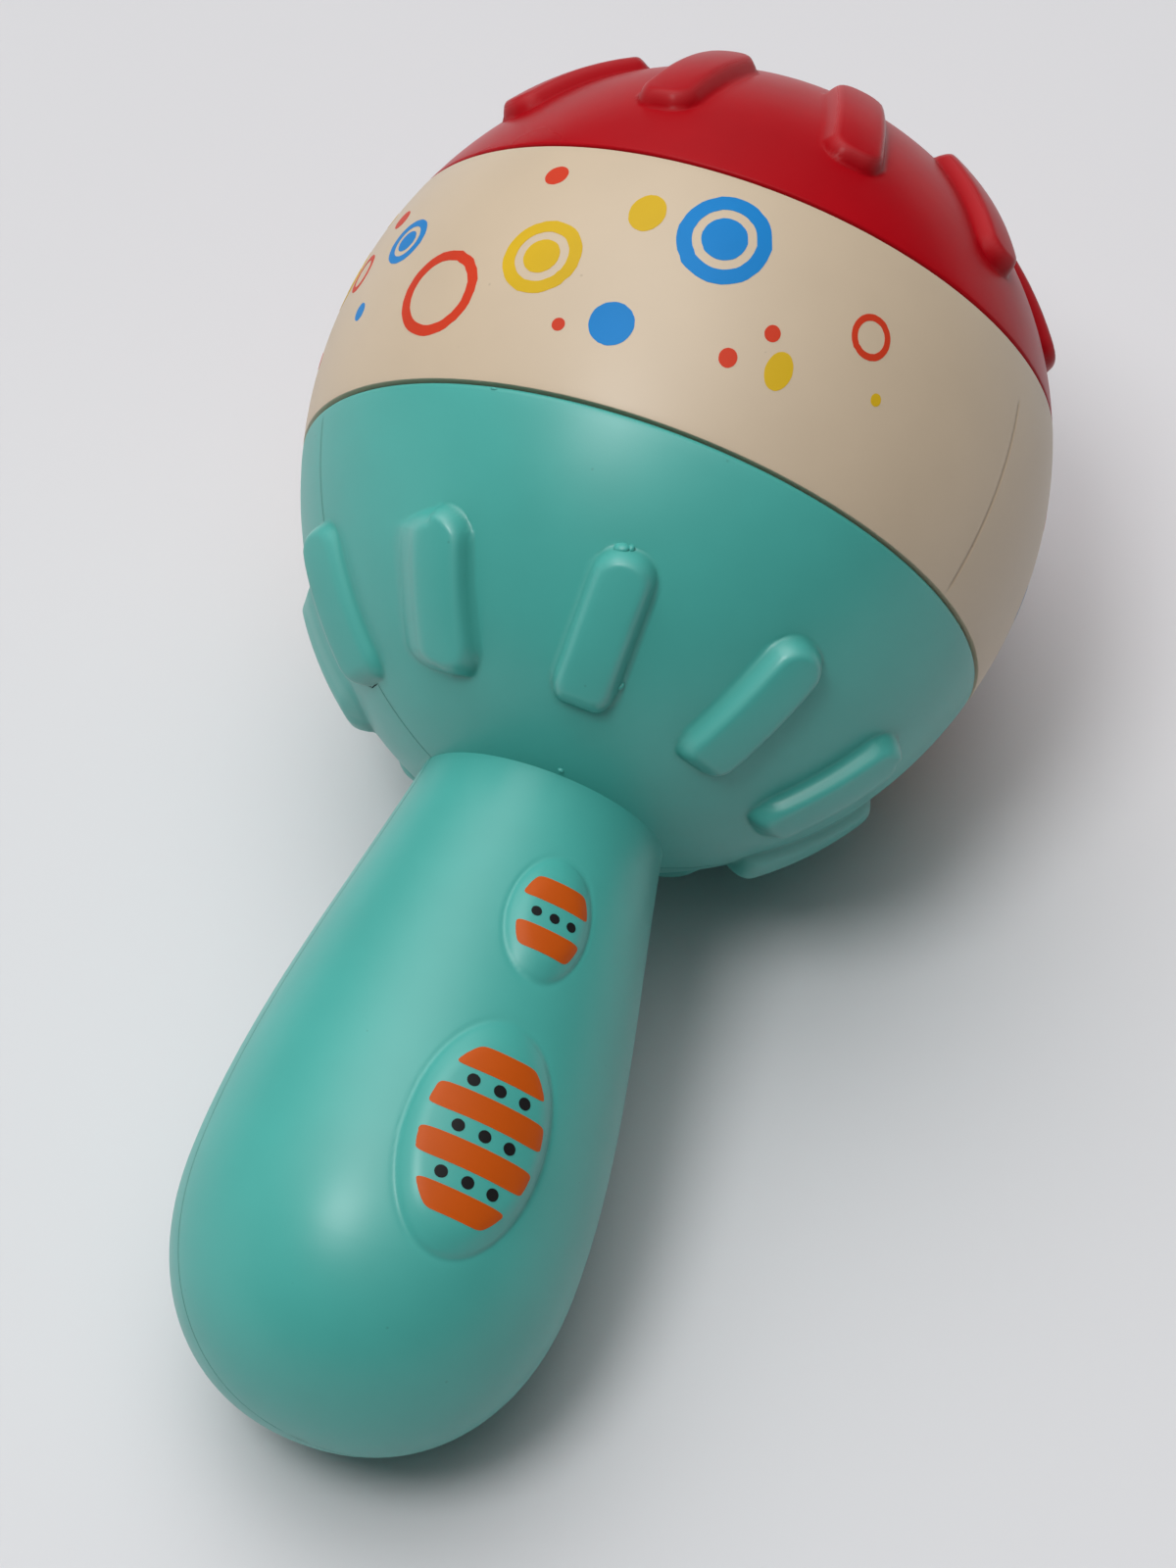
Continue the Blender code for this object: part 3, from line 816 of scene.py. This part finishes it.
handle_points = []
end_steps = uneven_steps(0.0, 0.5 * math.pi, END_COARSE, END_FINE, (0.0,), BOSS_ON_END)
for angle_up in end_steps[:0:-1]:
    crowd_here = -1.0 + angle_up / (0.5 * math.pi)
    handle_points.append((end_point(angle_up), end_point(angle_up, WALL), crowd_here))
for below in np.linspace(SHAFT, 0.05 * MM, round(SHAFT / SHAFT_STEP)):
    if below > FLOOR_BELOW:
        within = Vector((shaft_r(below) - WALL, 0.0, NECK - below))
    else:
        floor_r = (shaft_r(FLOOR_BELOW) - WALL) * below / FLOOR_BELOW
        within = Vector((floor_r, 0.0, -HEAD_DOWN))
    crowd_here = -min(1.0, below / (5.0 * MM))
    handle_points.append((Vector((shaft_r(below), 0.0, NECK - below)), within, crowd_here))
print("handle:", len(handle_points), "rows")

# %% Outline of the bowl, with a rounded rim
RIB_RAISE = 1.7 * MM
LOW_RIB_RAISE = 1.3 * MM
BOWL_RIB_LENGTH = 14.2 * MM
BOWL_RIB_LATITUDE = math.radians(-44.3)
BOWL_RIM = -BAND_LOW - 0.5 * GAP
BOWL_STEP = -BAND_LOW - LAP - GAP
BOWL_EDGE = 0.45 * MM
FLOOR_FROM = math.radians(-58.0)
RIM_STEPS = 5
COARSE = math.radians(1.25)
FINE = math.radians(0.30)
NEAR = math.radians(4.0)


def rib_ends(latitude, length):
    """Latitudes of the two ends of a rib."""
    ahead = head_point(latitude + 0.01) - head_point(latitude)
    half = 0.01 * 0.5 * length / ahead.length
    return latitude - half, latitude + half


def rim_points(latitude, edge, upwards):
    """A rounded edge at the end of an outline, from the skin to the rim's face."""
    corner_point = head_point(latitude)
    outwards = Vector((math.cos(latitude), 0.0, math.sin(latitude)))
    ahead = Vector((-outwards.z, 0.0, outwards.x)) * upwards
    points = []
    for angle_round in np.linspace(0.0, 0.5 * math.pi, RIM_STEPS + 1):
        back = edge * (math.sin(angle_round) - 1.0)
        deep = edge * (math.cos(angle_round) - 1.0)
        level = corner_point + back * ahead
        points.append((level + deep * outwards, level - RECESS * outwards, 1.0))
    return points


neck_latitude = latitude_of(NECK)
rim_latitude = latitude_of(BOWL_RIM)
bowl_ends = rib_ends(BOWL_RIB_LATITUDE, BOWL_RIB_LENGTH)
last_latitude = rim_latitude - BOWL_EDGE / HEAD_R
step_latitude = latitude_of(BOWL_STEP)
bowl_points = []
for latitude in uneven_steps(neck_latitude, last_latitude, COARSE, FINE, bowl_ends, NEAR)[:-1]:
    deeper = np.interp(latitude, (neck_latitude, FLOOR_FROM), (-0.5 * math.pi, FLOOR_FROM))
    inner_latitude = deeper if latitude < FLOOR_FROM else latitude
    within = head_point(inner_latitude, WALL if latitude < step_latitude else RECESS)
    crowd_here = min(1.0, (latitude - neck_latitude) / math.radians(8.0))
    bowl_points.append((head_point(latitude), within, crowd_here))
bowl_points += rim_points(rim_latitude, BOWL_EDGE, 1.0)
shell_points = handle_points + bowl_points
print("bowl:", len(bowl_points), "rows")

# %% Front and rear shell
BOSSES = {
    # name: below the neck, half long, half wide, raise
    "Small": (13.3 * MM, 5.9 * MM, 3.9 * MM, 1.0 * MM),
    "Large": (34.2 * MM, 10.5 * MM, 6.5 * MM, 1.3 * MM),
}
TAB_MARGIN = 0.15 * MM
RIBBED = {
    "Bars": 10, "Columns_For_A_Bar": 36, "Bar_Width": 5.6 * MM, "Foot": 0.25 * MM,
    "Crowded_Half_Width": 4.6 * MM, "Crowded_Share": 29.0 / 36.0, "Boss_Angle": FRONT_ANGLE,
}


def run_at(run_values, outline, height):
    """How far along an outline it reaches a height."""
    return float(np.interp(height, outline[:, 2], run_values))


shells = {}
for name, which_side in (("front_shell", 1.0), ("rear_shell", -1.0)):
    chain, run_values, outline = outline_mesh(name, shell_points)
    rib_height = head_point(BOWL_RIB_LATITUDE).z
    sizes = {}
    for which, (below, half_long, half_wide, raise_by) in BOSSES.items():
        sizes[which + "_Boss_Place"] = run_at(run_values, outline, NECK - below)
        sizes[which + "_Boss_Half_Long"] = half_long
        sizes[which + "_Boss_Half_Wide"] = half_wide
        sizes[which + "_Boss_Raise"] = raise_by if which_side > 0.0 else 0.0
    mesh = skin.make(
        name, chain, **RIBBED, **sizes, Outline_Points=len(shell_points),
        First_Angle=SEAM_ANGLE, Bar_Place=run_at(run_values, outline, rib_height),
        Bar_Length=BOWL_RIB_LENGTH, Bar_Raise=RIB_RAISE if which_side > 0.0 else LOW_RIB_RAISE,
        Low_Corner=1.5 * MM, High_Corner=2.6 * MM, Low_End_Gentler=0.8,
        Far_Wall_Gentler=2.3, Near_Wall_Steeper=0.45,
        Draw_Angle=FRONT_ANGLE - (0.0 if which_side > 0.0 else math.pi),
        Seam_Bar_Tilt=0.33, Shoulder=1.3 * MM, Boss_Shoulder=2.2 * MM,
        Side=which_side, Tab_Margin=TAB_MARGIN, Finish=turquoise,
    )
    shells[name] = place_piece(
        name + "_skin", moulding(mesh, BOWL_RIM - BOWL_EDGE, NECK), "shell", [name],
    )

# %% [markdown]
# ## Cream ring
#
# The ring closes the head between bowl and cap. Its section is a closed loop: the visible band,
# with slightly rounded edges, and a tongue at each end that goes into the neighbour. Two fine
# lines along it, on opposite sides, are where the halves of its mould met. They end short of the
# cap. The same tree turns the ring, with two very thin and very shallow bars that go inwards
# instead of outwards.

# %% Ring
TONGUE = 0.5 * (WALL + GAP)
RING_LOW = -BAND_LOW + 0.5 * GAP
RING_HIGH = BAND_HIGH - 0.5 * GAP
RING_END = -BAND_LOW - LAP
RING_TOP = BAND_HIGH + LAP
RING_LOW_EDGE = 0.08 * MM
RING_HIGH_EDGE = 0.22 * MM
MOULD_LINE_ANGLE = math.radians(64.3)
MOULD_LINE_WIDTH = 0.30 * MM
MOULD_LINE_DEPTH = 0.06 * MM
MOULD_LINE_FADE = 5.0 * MM  # from the cap, where the line has been polished away
RING_ROWS = 34
INNER_ROWS = 24
NO_BOSSES = {  # with no raise they don't show, but the tree divides by these sizes
    "Small_Boss_Half_Long": 1.0, "Small_Boss_Half_Wide": 1.0,
    "Large_Boss_Half_Long": 1.0, "Large_Boss_Half_Wide": 1.0, "Boss_Shoulder": 1.0,
}


def on_head(height, inset):
    """A point of the head at a height, a distance inside the skin, with a point further in."""
    reach = (HEAD_UP if height > 0.0 else HEAD_DOWN) - inset
    latitude = math.asin(height / reach)
    return head_point(latitude, inset), head_point(latitude, inset + WALL), 0.0


low_edge = rim_points(latitude_of(RING_LOW), RING_LOW_EDGE, -1.0)
high_edge = rim_points(latitude_of(RING_HIGH), RING_HIGH_EDGE, 1.0)
band = np.linspace(
    latitude_of(RING_LOW) + RING_LOW_EDGE / HEAD_R,
    latitude_of(RING_HIGH) - RING_HIGH_EDGE / HEAD_R, RING_ROWS,
)
ring_points = [on_head(RING_LOW, TONGUE)]
ring_points += low_edge[::-1]
ring_points += [(head_point(la), head_point(la, WALL), 1.0) for la in band[1:-1]]
ring_points += high_edge
ring_points += [on_head(RING_HIGH, TONGUE), on_head(RING_TOP, TONGUE)]
ring_points += [on_head(h, WALL) for h in np.linspace(RING_TOP, RING_END, INNER_ROWS)]
ring_points += [on_head(RING_END, TONGUE), ring_points[0]]
chain, run_values, outline = outline_mesh("band_ring", ring_points)
lower_end = 1 + len(low_edge)
upper_end = lower_end + RING_ROWS - 2
ring_middle = 0.5 * (run_values[lower_end] + run_values[upper_end])
ring_span = run_values[upper_end] - run_values[lower_end]
ring_mesh = skin.make(
    "band_ring", chain, **NO_BOSSES, Bars=2, Columns_For_A_Bar=160,
    Outline_Points=len(ring_points),
    First_Angle=MOULD_LINE_ANGLE, Bar_Place=float(ring_middle) - 0.5 * MOULD_LINE_FADE,
    Bar_Length=float(ring_span) - MOULD_LINE_FADE,
    Bar_Width=MOULD_LINE_WIDTH, Bar_Raise=-MOULD_LINE_DEPTH,
    Low_Corner=0.1 * MM, High_Corner=0.1 * MM,
    Shoulder=0.2 * MM, Foot=0.08 * MM,
    Crowded_Half_Width=0.35 * MM, Crowded_Share=0.06, Boss_Angle=FRONT_ANGLE, Finish=cream,
)
ring_mesh.set_sharp_from_angle(angle=SHARP_FROM)
ring = place_piece("band_ring_skin", ring_mesh, "shell", ["band_ring"])

# %% [markdown]
# ## Red cap
#
# The cap is a plain dome with ten ribs of its own. They are as wide as those of the bowl, but have
# two round ends and even walls, because its mould opens along the axis. They start at another
# angle, so they don't line up with the ribs below. Its outline runs from the rim up to the pole.

# %% Cap
CAP_RIB_LENGTH = 15.5 * MM
CAP_RIB_LATITUDE = math.radians(44.8)
CAP_RIB_ANGLE = math.radians(21.5)
CAP_RIM = BAND_HIGH + 0.5 * GAP
CAP_STEP = BAND_HIGH + LAP + GAP
CAP_EDGE = 0.25 * MM

cap_ends = rib_ends(CAP_RIB_LATITUDE, CAP_RIB_LENGTH)
cap_points = rim_points(latitude_of(CAP_RIM), CAP_EDGE, -1.0)[::-1]
cap_start = latitude_of(CAP_RIM) + CAP_EDGE / HEAD_R
for latitude in uneven_steps(cap_start, 0.5 * math.pi, COARSE, FINE, cap_ends, NEAR)[1:]:
    deep = WALL if latitude > latitude_of(CAP_STEP) else RECESS
    crowd_here = min(1.0, (0.5 * math.pi - latitude) / math.radians(12.0))
    cap_points.append((head_point(latitude), head_point(latitude, deep), crowd_here))
chain, run_values, outline = outline_mesh("top_cap", cap_points)
cap_mesh = skin.make(
    "top_cap", chain, **RIBBED, **NO_BOSSES, Outline_Points=len(cap_points),
    First_Angle=CAP_RIB_ANGLE,
    Bar_Place=run_at(run_values, outline, head_point(CAP_RIB_LATITUDE).z),
    Bar_Length=CAP_RIB_LENGTH, Bar_Raise=LOW_RIB_RAISE,
    Low_Corner=2.2 * MM, High_Corner=2.2 * MM, Shoulder=1.2 * MM, Finish=red,
)
place_piece("top_cap_skin", moulding(cap_mesh), "shell", ["top_cap"])

# %% [markdown]
# ## Printed dots and rings
#
# The ring carries a scatter of printed dots, rings and dots inside rings in three inks, like
# bubbles. Ink could be painted in the material, but then it would have no edge of its own, so
# each mark is a very thin patch that lies on the plastic. All marks are one shape: a strip that
# runs round from an inner to an outer edge, over the top of the ink and back underneath. A tree
# puts one strip on each point, stretches it to the sizes stored there, and drops it on the
# surface along a ray towards the axis.

# %% Strip of one mark
ink_tree = Tree("printed_marks")
surface = ink_tree.input("Surface", "Object")
mark_sides, top_rows = ink_tree.inputs("Sides", "Top Rows", kind="Int")
ink_lift, ink_wobble, ink_seed = ink_tree.inputs("Lift", "Wobble", "Seed")
ink_finish = ink_tree.input("Finish", "Material")
last_row = top_rows + 4.0  # the top goes outwards, three rows come back underneath, one closes it

strip = ink_tree.put("GeometryNodeMeshGrid", 1.0, last_row, mark_sides + 1, last_row + 1.0)
strip_x, strip_y, _ = ink_tree.split(ink_tree.put("GeometryNodeInputPosition"))
strip_row = strip_y + 0.5 * last_row
is_late = strip_row > top_rows + 0.5
is_under = abs(strip_row - top_rows - 2.0) < 1.5
outwards = ink_tree.clamp(strip_row / top_rows) * (1.0 - is_late)
outwards = outwards + ink_tree.clamp(0.5 * (top_rows + 3.0 - strip_row)) * is_late
round_mark = ink_tree.join(-2.0 * math.pi * strip_x, outwards, 1.0 - 2.0 * is_under)
strip = ink_tree.store(strip, "round_mark", round_mark, "FLOAT_VECTOR")
marks = ink_tree.put("GeometryNodeInstanceOnPoints", ink_tree.geometry, None, strip)
marks = ink_tree.put("GeometryNodeRealizeInstances", marks)

# %% Stretch each strip and drop it on the surface
RAY_FROM = 80.0 * MM
mark_angle, mark_out, mark_layer = ink_tree.split(ink_tree.attribute("round_mark", "FLOAT_VECTOR"))
place_angle, place_height, place_radius = ink_tree.split(ink_tree.attribute("place", "FLOAT_VECTOR"))
half_round, half_along, hole = ink_tree.split(ink_tree.attribute("mark", "FLOAT_VECTOR"))
square, from_oval, half_oval = ink_tree.split(ink_tree.attribute("shape", "FLOAT_VECTOR"))
mark_cos = ink_tree.math("COSINE", mark_angle)
mark_sin = ink_tree.math("SINE", mark_angle)
stretch = (abs(mark_cos) ** square + abs(mark_sin) ** square) ** (-1.0 / square)
noise = ink_tree.put(
    "ShaderNodeTexNoise",
    ink_tree.join(mark_cos + 31.0 * place_angle, mark_sin + 900.0 * place_height, ink_seed),
    None, 1.6, 2.0, noise_dimensions="3D",
)
reach_out = (hole + (1.0 - hole) * mark_out) * stretch * (1.0 + ink_wobble * (noise - 0.5))
flat_y = reach_out * mark_sin * half_along
in_oval = (from_oval + flat_y) / half_oval
narrowing = ink_tree.math("SQRT", ink_tree.clamp(1.0 - in_oval * in_oval))
flat_x = reach_out * mark_cos * half_round * narrowing
ray_angle = place_angle + flat_x / place_radius
ray_height = place_height + flat_y
ray_cos = ink_tree.math("COSINE", ray_angle)
ray_sin = ink_tree.math("SINE", ray_angle)
target = ink_tree.group.nodes.new("GeometryNodeObjectInfo")
target.transform_space = "RELATIVE"
ink_tree.feed(target.inputs["Object"], surface)
ray = ink_tree.group.nodes.new("GeometryNodeRaycast")
ink_tree.feed(ray.inputs["Target Geometry"], Term(ink_tree, target.outputs["Geometry"]))
ray_start = ink_tree.join(RAY_FROM * ray_cos, RAY_FROM * ray_sin, ray_height)
ink_tree.feed(ray.inputs["Source Position"], ray_start)
ink_tree.feed(ray.inputs["Ray Direction"], ink_tree.join(-1.0 * ray_cos, -1.0 * ray_sin, 0.0))
ink_tree.feed(ray.inputs["Ray Length"], RAY_FROM)
hit = Term(ink_tree, ray.outputs["Hit Position"])
hit_normal = Term(ink_tree, ray.outputs["Hit Normal"])
raised = ink_tree.vector("ADD", hit, ink_tree.vector("SCALE", hit_normal, ink_lift * mark_layer))
marks = ink_tree.put("GeometryNodeSetPosition", marks, None, raised)
marks = ink_tree.put("GeometryNodeMergeByDistance", marks, None, WELD)
ink_tree.finish(marks, ink_finish)
print("printed marks:", len(ink_tree.group.nodes), "nodes")

# %% Inks
RING_INKS = {
    "red": (0.620, 0.045, 0.015),
    "blue": (0.005, 0.215, 0.580),
    "yellow": (0.660, 0.420, 0.014),
}


def ink(name, colour, roughness):
    return satin_plastic(
        name, colour, roughness, specular=0.2, cloudiness=0.03, grain_height=0.004, specks=0.2
    )


inks = {name: ink(name + "_ink", colour, 0.48) for name, colour in RING_INKS.items()}
print("inks:", ", ".join(inks))

# %% Marks from a list
INK_LIFT = 0.025 * MM


def print_marks(name, piece, finish, marks, wobble, seed, sides=44, rows=4):
    """Prints marks: (angle, height, radius), (half round, half along, open share), shape.

    The shape is (squareness, distance from the middle of an oval, half length of that oval). A
    mark narrows as that oval does towards its ends.
    """
    points = bpy.data.meshes.new(name)
    points.from_pydata([(0.0, 0.0, 0.0)] * len(marks), [], [])
    for index, key in enumerate(("place", "mark", "shape")):
        values = [c for m in marks for c in m[index]]
        points.attributes.new(key, "FLOAT_VECTOR", "POINT").data.foreach_set("vector", values)
    stand_in = add_object("stand_in", piece.data)
    stand_in.matrix_world = UNLAY
    mesh = ink_tree.make(
        name, points, Surface=stand_in, Sides=sides, Top_Rows=rows, Lift=INK_LIFT, Wobble=wobble,
        Seed=seed, Finish=finish,
    )
    bpy.data.objects.remove(stand_in)
    mesh.set_sharp_from_angle(angle=SHARP_FROM)
    return place_piece(name, mesh, "shell", [])


# %% [markdown]
# ## The scatter on the ring
#
# The marks are listed by ink with their place round the ring in degrees, their height and half
# sizes in millimetres, and the share of them that is open. A dot inside a ring is two marks at one
# place. The print covers the side between the two mould lines, and the far side, which the
# photograph doesn't show, is taken to carry the same scatter half a turn on.

# %% Marks of the ring
SCATTER = {
    # ink: angle, height, half round, half along, open share
    "red": (
        (-23, 9.8, 1.1, 1.1, 0.0), (-35, -2.9, 4.3, 4.2, 0.76), (-56, 7.2, 1.1, 1.0, 0.0),
        (-62, 2.3, 1.9, 2.0, 0.70), (-12, -5.1, 0.6, 0.6, 0.0), (13.3, -3.7, 0.8, 0.9, 0.0),
        (18, -0.1, 0.7, 0.8, 0.0), (32, 3.9, 1.9, 2.2, 0.70), (-74, -4.2, 0.8, 0.8, 0.0),
        (-84, 6.4, 1.0, 1.0, 0.0),
    ),
    "blue": (
        (6.6, 6.8, 4.1, 4.6, 0.68), (6.6, 6.8, 2.0, 2.2, 0.0), (-48.5, 3.5, 2.6, 2.4, 0.68),
        (-48.5, 3.5, 1.2, 1.1, 0.0), (-55, -3.0, 0.8, 0.9, 0.0), (-4.3, -4.0, 2.0, 2.0, 0.0),
        (-80, -1.0, 1.7, 1.8, 0.0),
    ),
    "yellow": (
        (-5.7, 7.2, 1.6, 2.0, 0.0), (-18.6, 1.0, 3.7, 3.7, 0.68), (-18.6, 1.0, 1.7, 1.7, 0.0),
        (20.8, -3.0, 1.2, 1.8, 0.0), (36, -1.1, 0.5, 0.6, 0.0), (-71, 3.6, 3.0, 3.0, 0.68),
        (-71, 3.6, 1.3, 1.3, 0.0), (-66, 9.4, 0.8, 0.8, 0.0),
    ),
}
RING_WOBBLE = 0.09
ROUND_MARK = (2.0, 0.0, 1.0)
for seed, (ink_name, listed) in enumerate(SCATTER.items()):
    marks_here = []
    for degrees, height_mm, around_mm, along_mm, open_share in listed:
        for half_turn in (0.0, math.pi):
            radius_here = head_point(latitude_of(height_mm * MM)).x
            marks_here.append((
                (math.radians(degrees) + half_turn, height_mm * MM, radius_here),
                (around_mm * MM, along_mm * MM, open_share),
                ROUND_MARK,
            ))
    print_marks("ring_print_" + ink_name, ring, inks[ink_name], marks_here, RING_WOBBLE, float(seed))

# %% [markdown]
# ## Stripes and dots on the bosses
#
# Each oval boss on the handle is printed too, with a plain pattern of orange stripes that follow
# the oval and rows of small black dots between them. The same tree makes them: a stripe is a mark
# whose outline is squarer and much wider than it is long.

# %% Marks of the bosses
ORANGE_INK = (0.560, 0.088, 0.004)
BLACK_INK = (0.012, 0.012, 0.013)
BOSS_PRINTS = {
    # boss: stripe heights, half stripe, rows of dots, dot spacing, dots in a row, dot radius, in mm
    "Small": ((-2.3, 2.3), 1.1, (0.0,), 1.6, 3, 0.45),
    "Large": ((-6.3, -2.1, 2.1, 6.3), 1.15, (-4.2, 0.0, 4.2), 2.3, 3, 0.55),
}
OVAL_SHARE = 0.80
STRIPE_SQUARE = 9.0

stripes = []
dots = []
for which, (lines, half_stripe, dot_rows, spacing, count, dot_r) in BOSS_PRINTS.items():
    below, half_long, half_wide, _ = BOSSES[which]
    for line in lines:
        level = NECK - below + line * MM
        stripes.append((
            (FRONT_ANGLE, level, shaft_r(NECK - level)),
            (OVAL_SHARE * half_wide, half_stripe * MM, 0.0),
            (STRIPE_SQUARE, line * MM, OVAL_SHARE * half_long),
        ))
    for line in dot_rows:
        level = NECK - below + line * MM
        for index in range(count):
            sideways = (index - 0.5 * (count - 1)) * spacing * MM / shaft_r(NECK - level)
            dots.append((
                (FRONT_ANGLE + sideways, level, shaft_r(NECK - level)),
                (dot_r * MM, dot_r * MM, 0.0), ROUND_MARK,
            ))
front = shells["front_shell"]
orange_ink = ink("orange_ink", ORANGE_INK, 0.45)
black_ink = ink("black_ink", BLACK_INK, 0.42)
print_marks("boss_print_orange", front, orange_ink, stripes, 0.03, 5.0, sides=96, rows=14)
print_marks("boss_print_black", front, black_ink, dots, 0.09, 6.0)

# %% [markdown]
# ## Small lumps left by the mould
#
# A moulding keeps traces of its mould: here a nub on the upper end of one rib, and specks of
# flash, which is plastic squeezed out between two halves of a mould, on a rib, at the neck and on
# the rim. They could be sculpted into the skin, but that would need far more points. Each is a
# squashed ball instead, sunk into the place where a ray from outside meets the shell.

# %% Lumps on the front shell
LUMPS = (
    # degrees round the axis, height over the widest section, half sizes round, along and out, in mm
    (8.4, -21.15, 0.75, 0.60, 0.38),
    (10.0, -20.95, 0.32, 0.38, 0.34),
    (18.4, -30.10, 0.22, 0.40, 0.25),
    (12.9, -35.90, 0.30, 0.20, 0.25),
    (-19.4, -11.45, 0.35, 0.15, 0.15),
)
LUMP_SIDES = 20
LUMP_RINGS = 12

bpy.context.view_layer.update()
lumps = bmesh.new()
for degrees, level, *half_sizes in LUMPS:
    outwards = Matrix.Rotation(math.radians(degrees), 4, "Z") @ Vector((1.0, 0.0, 0.0))
    start = LAY @ (2.0 * HEAD_R * outwards + Vector((0.0, 0.0, level * MM)))
    _, spot, facing, _ = front.ray_cast(start, -1.0 * (LAY.to_3x3() @ outwards))
    seat = (UNLAY.to_3x3() @ facing).to_track_quat("Z", "Y").to_matrix().to_4x4()
    size = Matrix.Diagonal([half * MM for half in half_sizes] + [1.0])
    lump = bmesh.ops.create_uvsphere(
        lumps, u_segments=LUMP_SIDES, v_segments=LUMP_RINGS, radius=1.0
    )
    seat = Matrix.Translation(UNLAY @ spot) @ seat @ size
    bmesh.ops.transform(lumps, matrix=seat, verts=lump["verts"])
lump_mesh = bpy.data.meshes.new("mould_lumps")
lumps.to_mesh(lump_mesh)
lumps.free()
lump_mesh.materials.append(turquoise)
lump_mesh.shade_smooth()
place_piece("mould_lumps", lump_mesh, "shell", [])

# %% [markdown]
# ## Rattle beads
#
# The head is sealed, so the beads are heard and not seen, but they are real bodies that slide in
# the model, and each gets a proper bead: a small moulded ball with a fine ridge where the two
# halves of its mould met and a flat spot where it was cut from its stem. A short tree makes one
# bead, and it runs once for each bead with the place of the plain solid as its input. No view from
# outside can show whether they lie where they should, so the cell measures it.

# %% Tree of a bead
BEAD_SIDES = 40
BEAD_RINGS = 24
RIDGE_SHARE = 0.12  # of the radius, on either side of the ridge
CUT_SHARE = 0.975  # of the radius, where the stem was cut off
bead_tree = Tree("moulded_bead")
bead_radius, bead_ridge = bead_tree.inputs("Radius", "Ridge")
bead_centre = bead_tree.input("Centre", "Vector")
bead_finish = bead_tree.input("Finish", "Material")
ball = bead_tree.put("GeometryNodeMeshUVSphere", BEAD_SIDES, BEAD_RINGS, bead_radius)
ball_x, ball_y, ball_z = bead_tree.split(bead_tree.put("GeometryNodeInputPosition"))
from_ridge = bead_tree.clamp(1.0 - abs(ball_z) / (RIDGE_SHARE * bead_radius))
swell = 1.0 + bead_ridge * from_ridge * from_ridge / bead_radius
cut_z = bead_tree.math("MINIMUM", ball_z, CUT_SHARE * bead_radius)
ball = bead_tree.put(
    "GeometryNodeSetPosition", ball, None, bead_tree.join(ball_x * swell, ball_y * swell, cut_z)
)
ball = bead_tree.put("GeometryNodeTransform", ball, bead_centre)
bead_tree.finish(ball, bead_finish)

# %% Nineteen beads
BEAD_IVORY = (0.62, 0.55, 0.40)
BEAD_RIDGE = 0.05 * MM
bead_plastic = satin_plastic("bead_ivory", BEAD_IVORY, 0.36, cloudiness=0.06, specks=0.3)
furthest_off = 0.0
for name in sorted(n for n in frame["nodes"] if n.startswith("bead_")):
    low, high = (Vector(corner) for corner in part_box(name))
    solid_centre = 0.5 * (low + high)
    mesh = bead_tree.make(
        name + "_ball", bpy.data.meshes.new(name),
        Radius=0.5 * (high.z - low.z), Ridge=BEAD_RIDGE, Centre=tuple(UNLAY @ solid_centre),
        Finish=bead_plastic,
    )
    place_piece(name + "_ball", mesh, name, [name])
    points = np.array([point.co for point in mesh.vertices])
    ball_centre = Vector(0.5 * (points.min(axis=0) + points.max(axis=0)))
    furthest_off = max(furthest_off, (ball_centre - solid_centre).length)
print("furthest bead from the middle of its solid:", round(furthest_off / MM, 3), "mm")
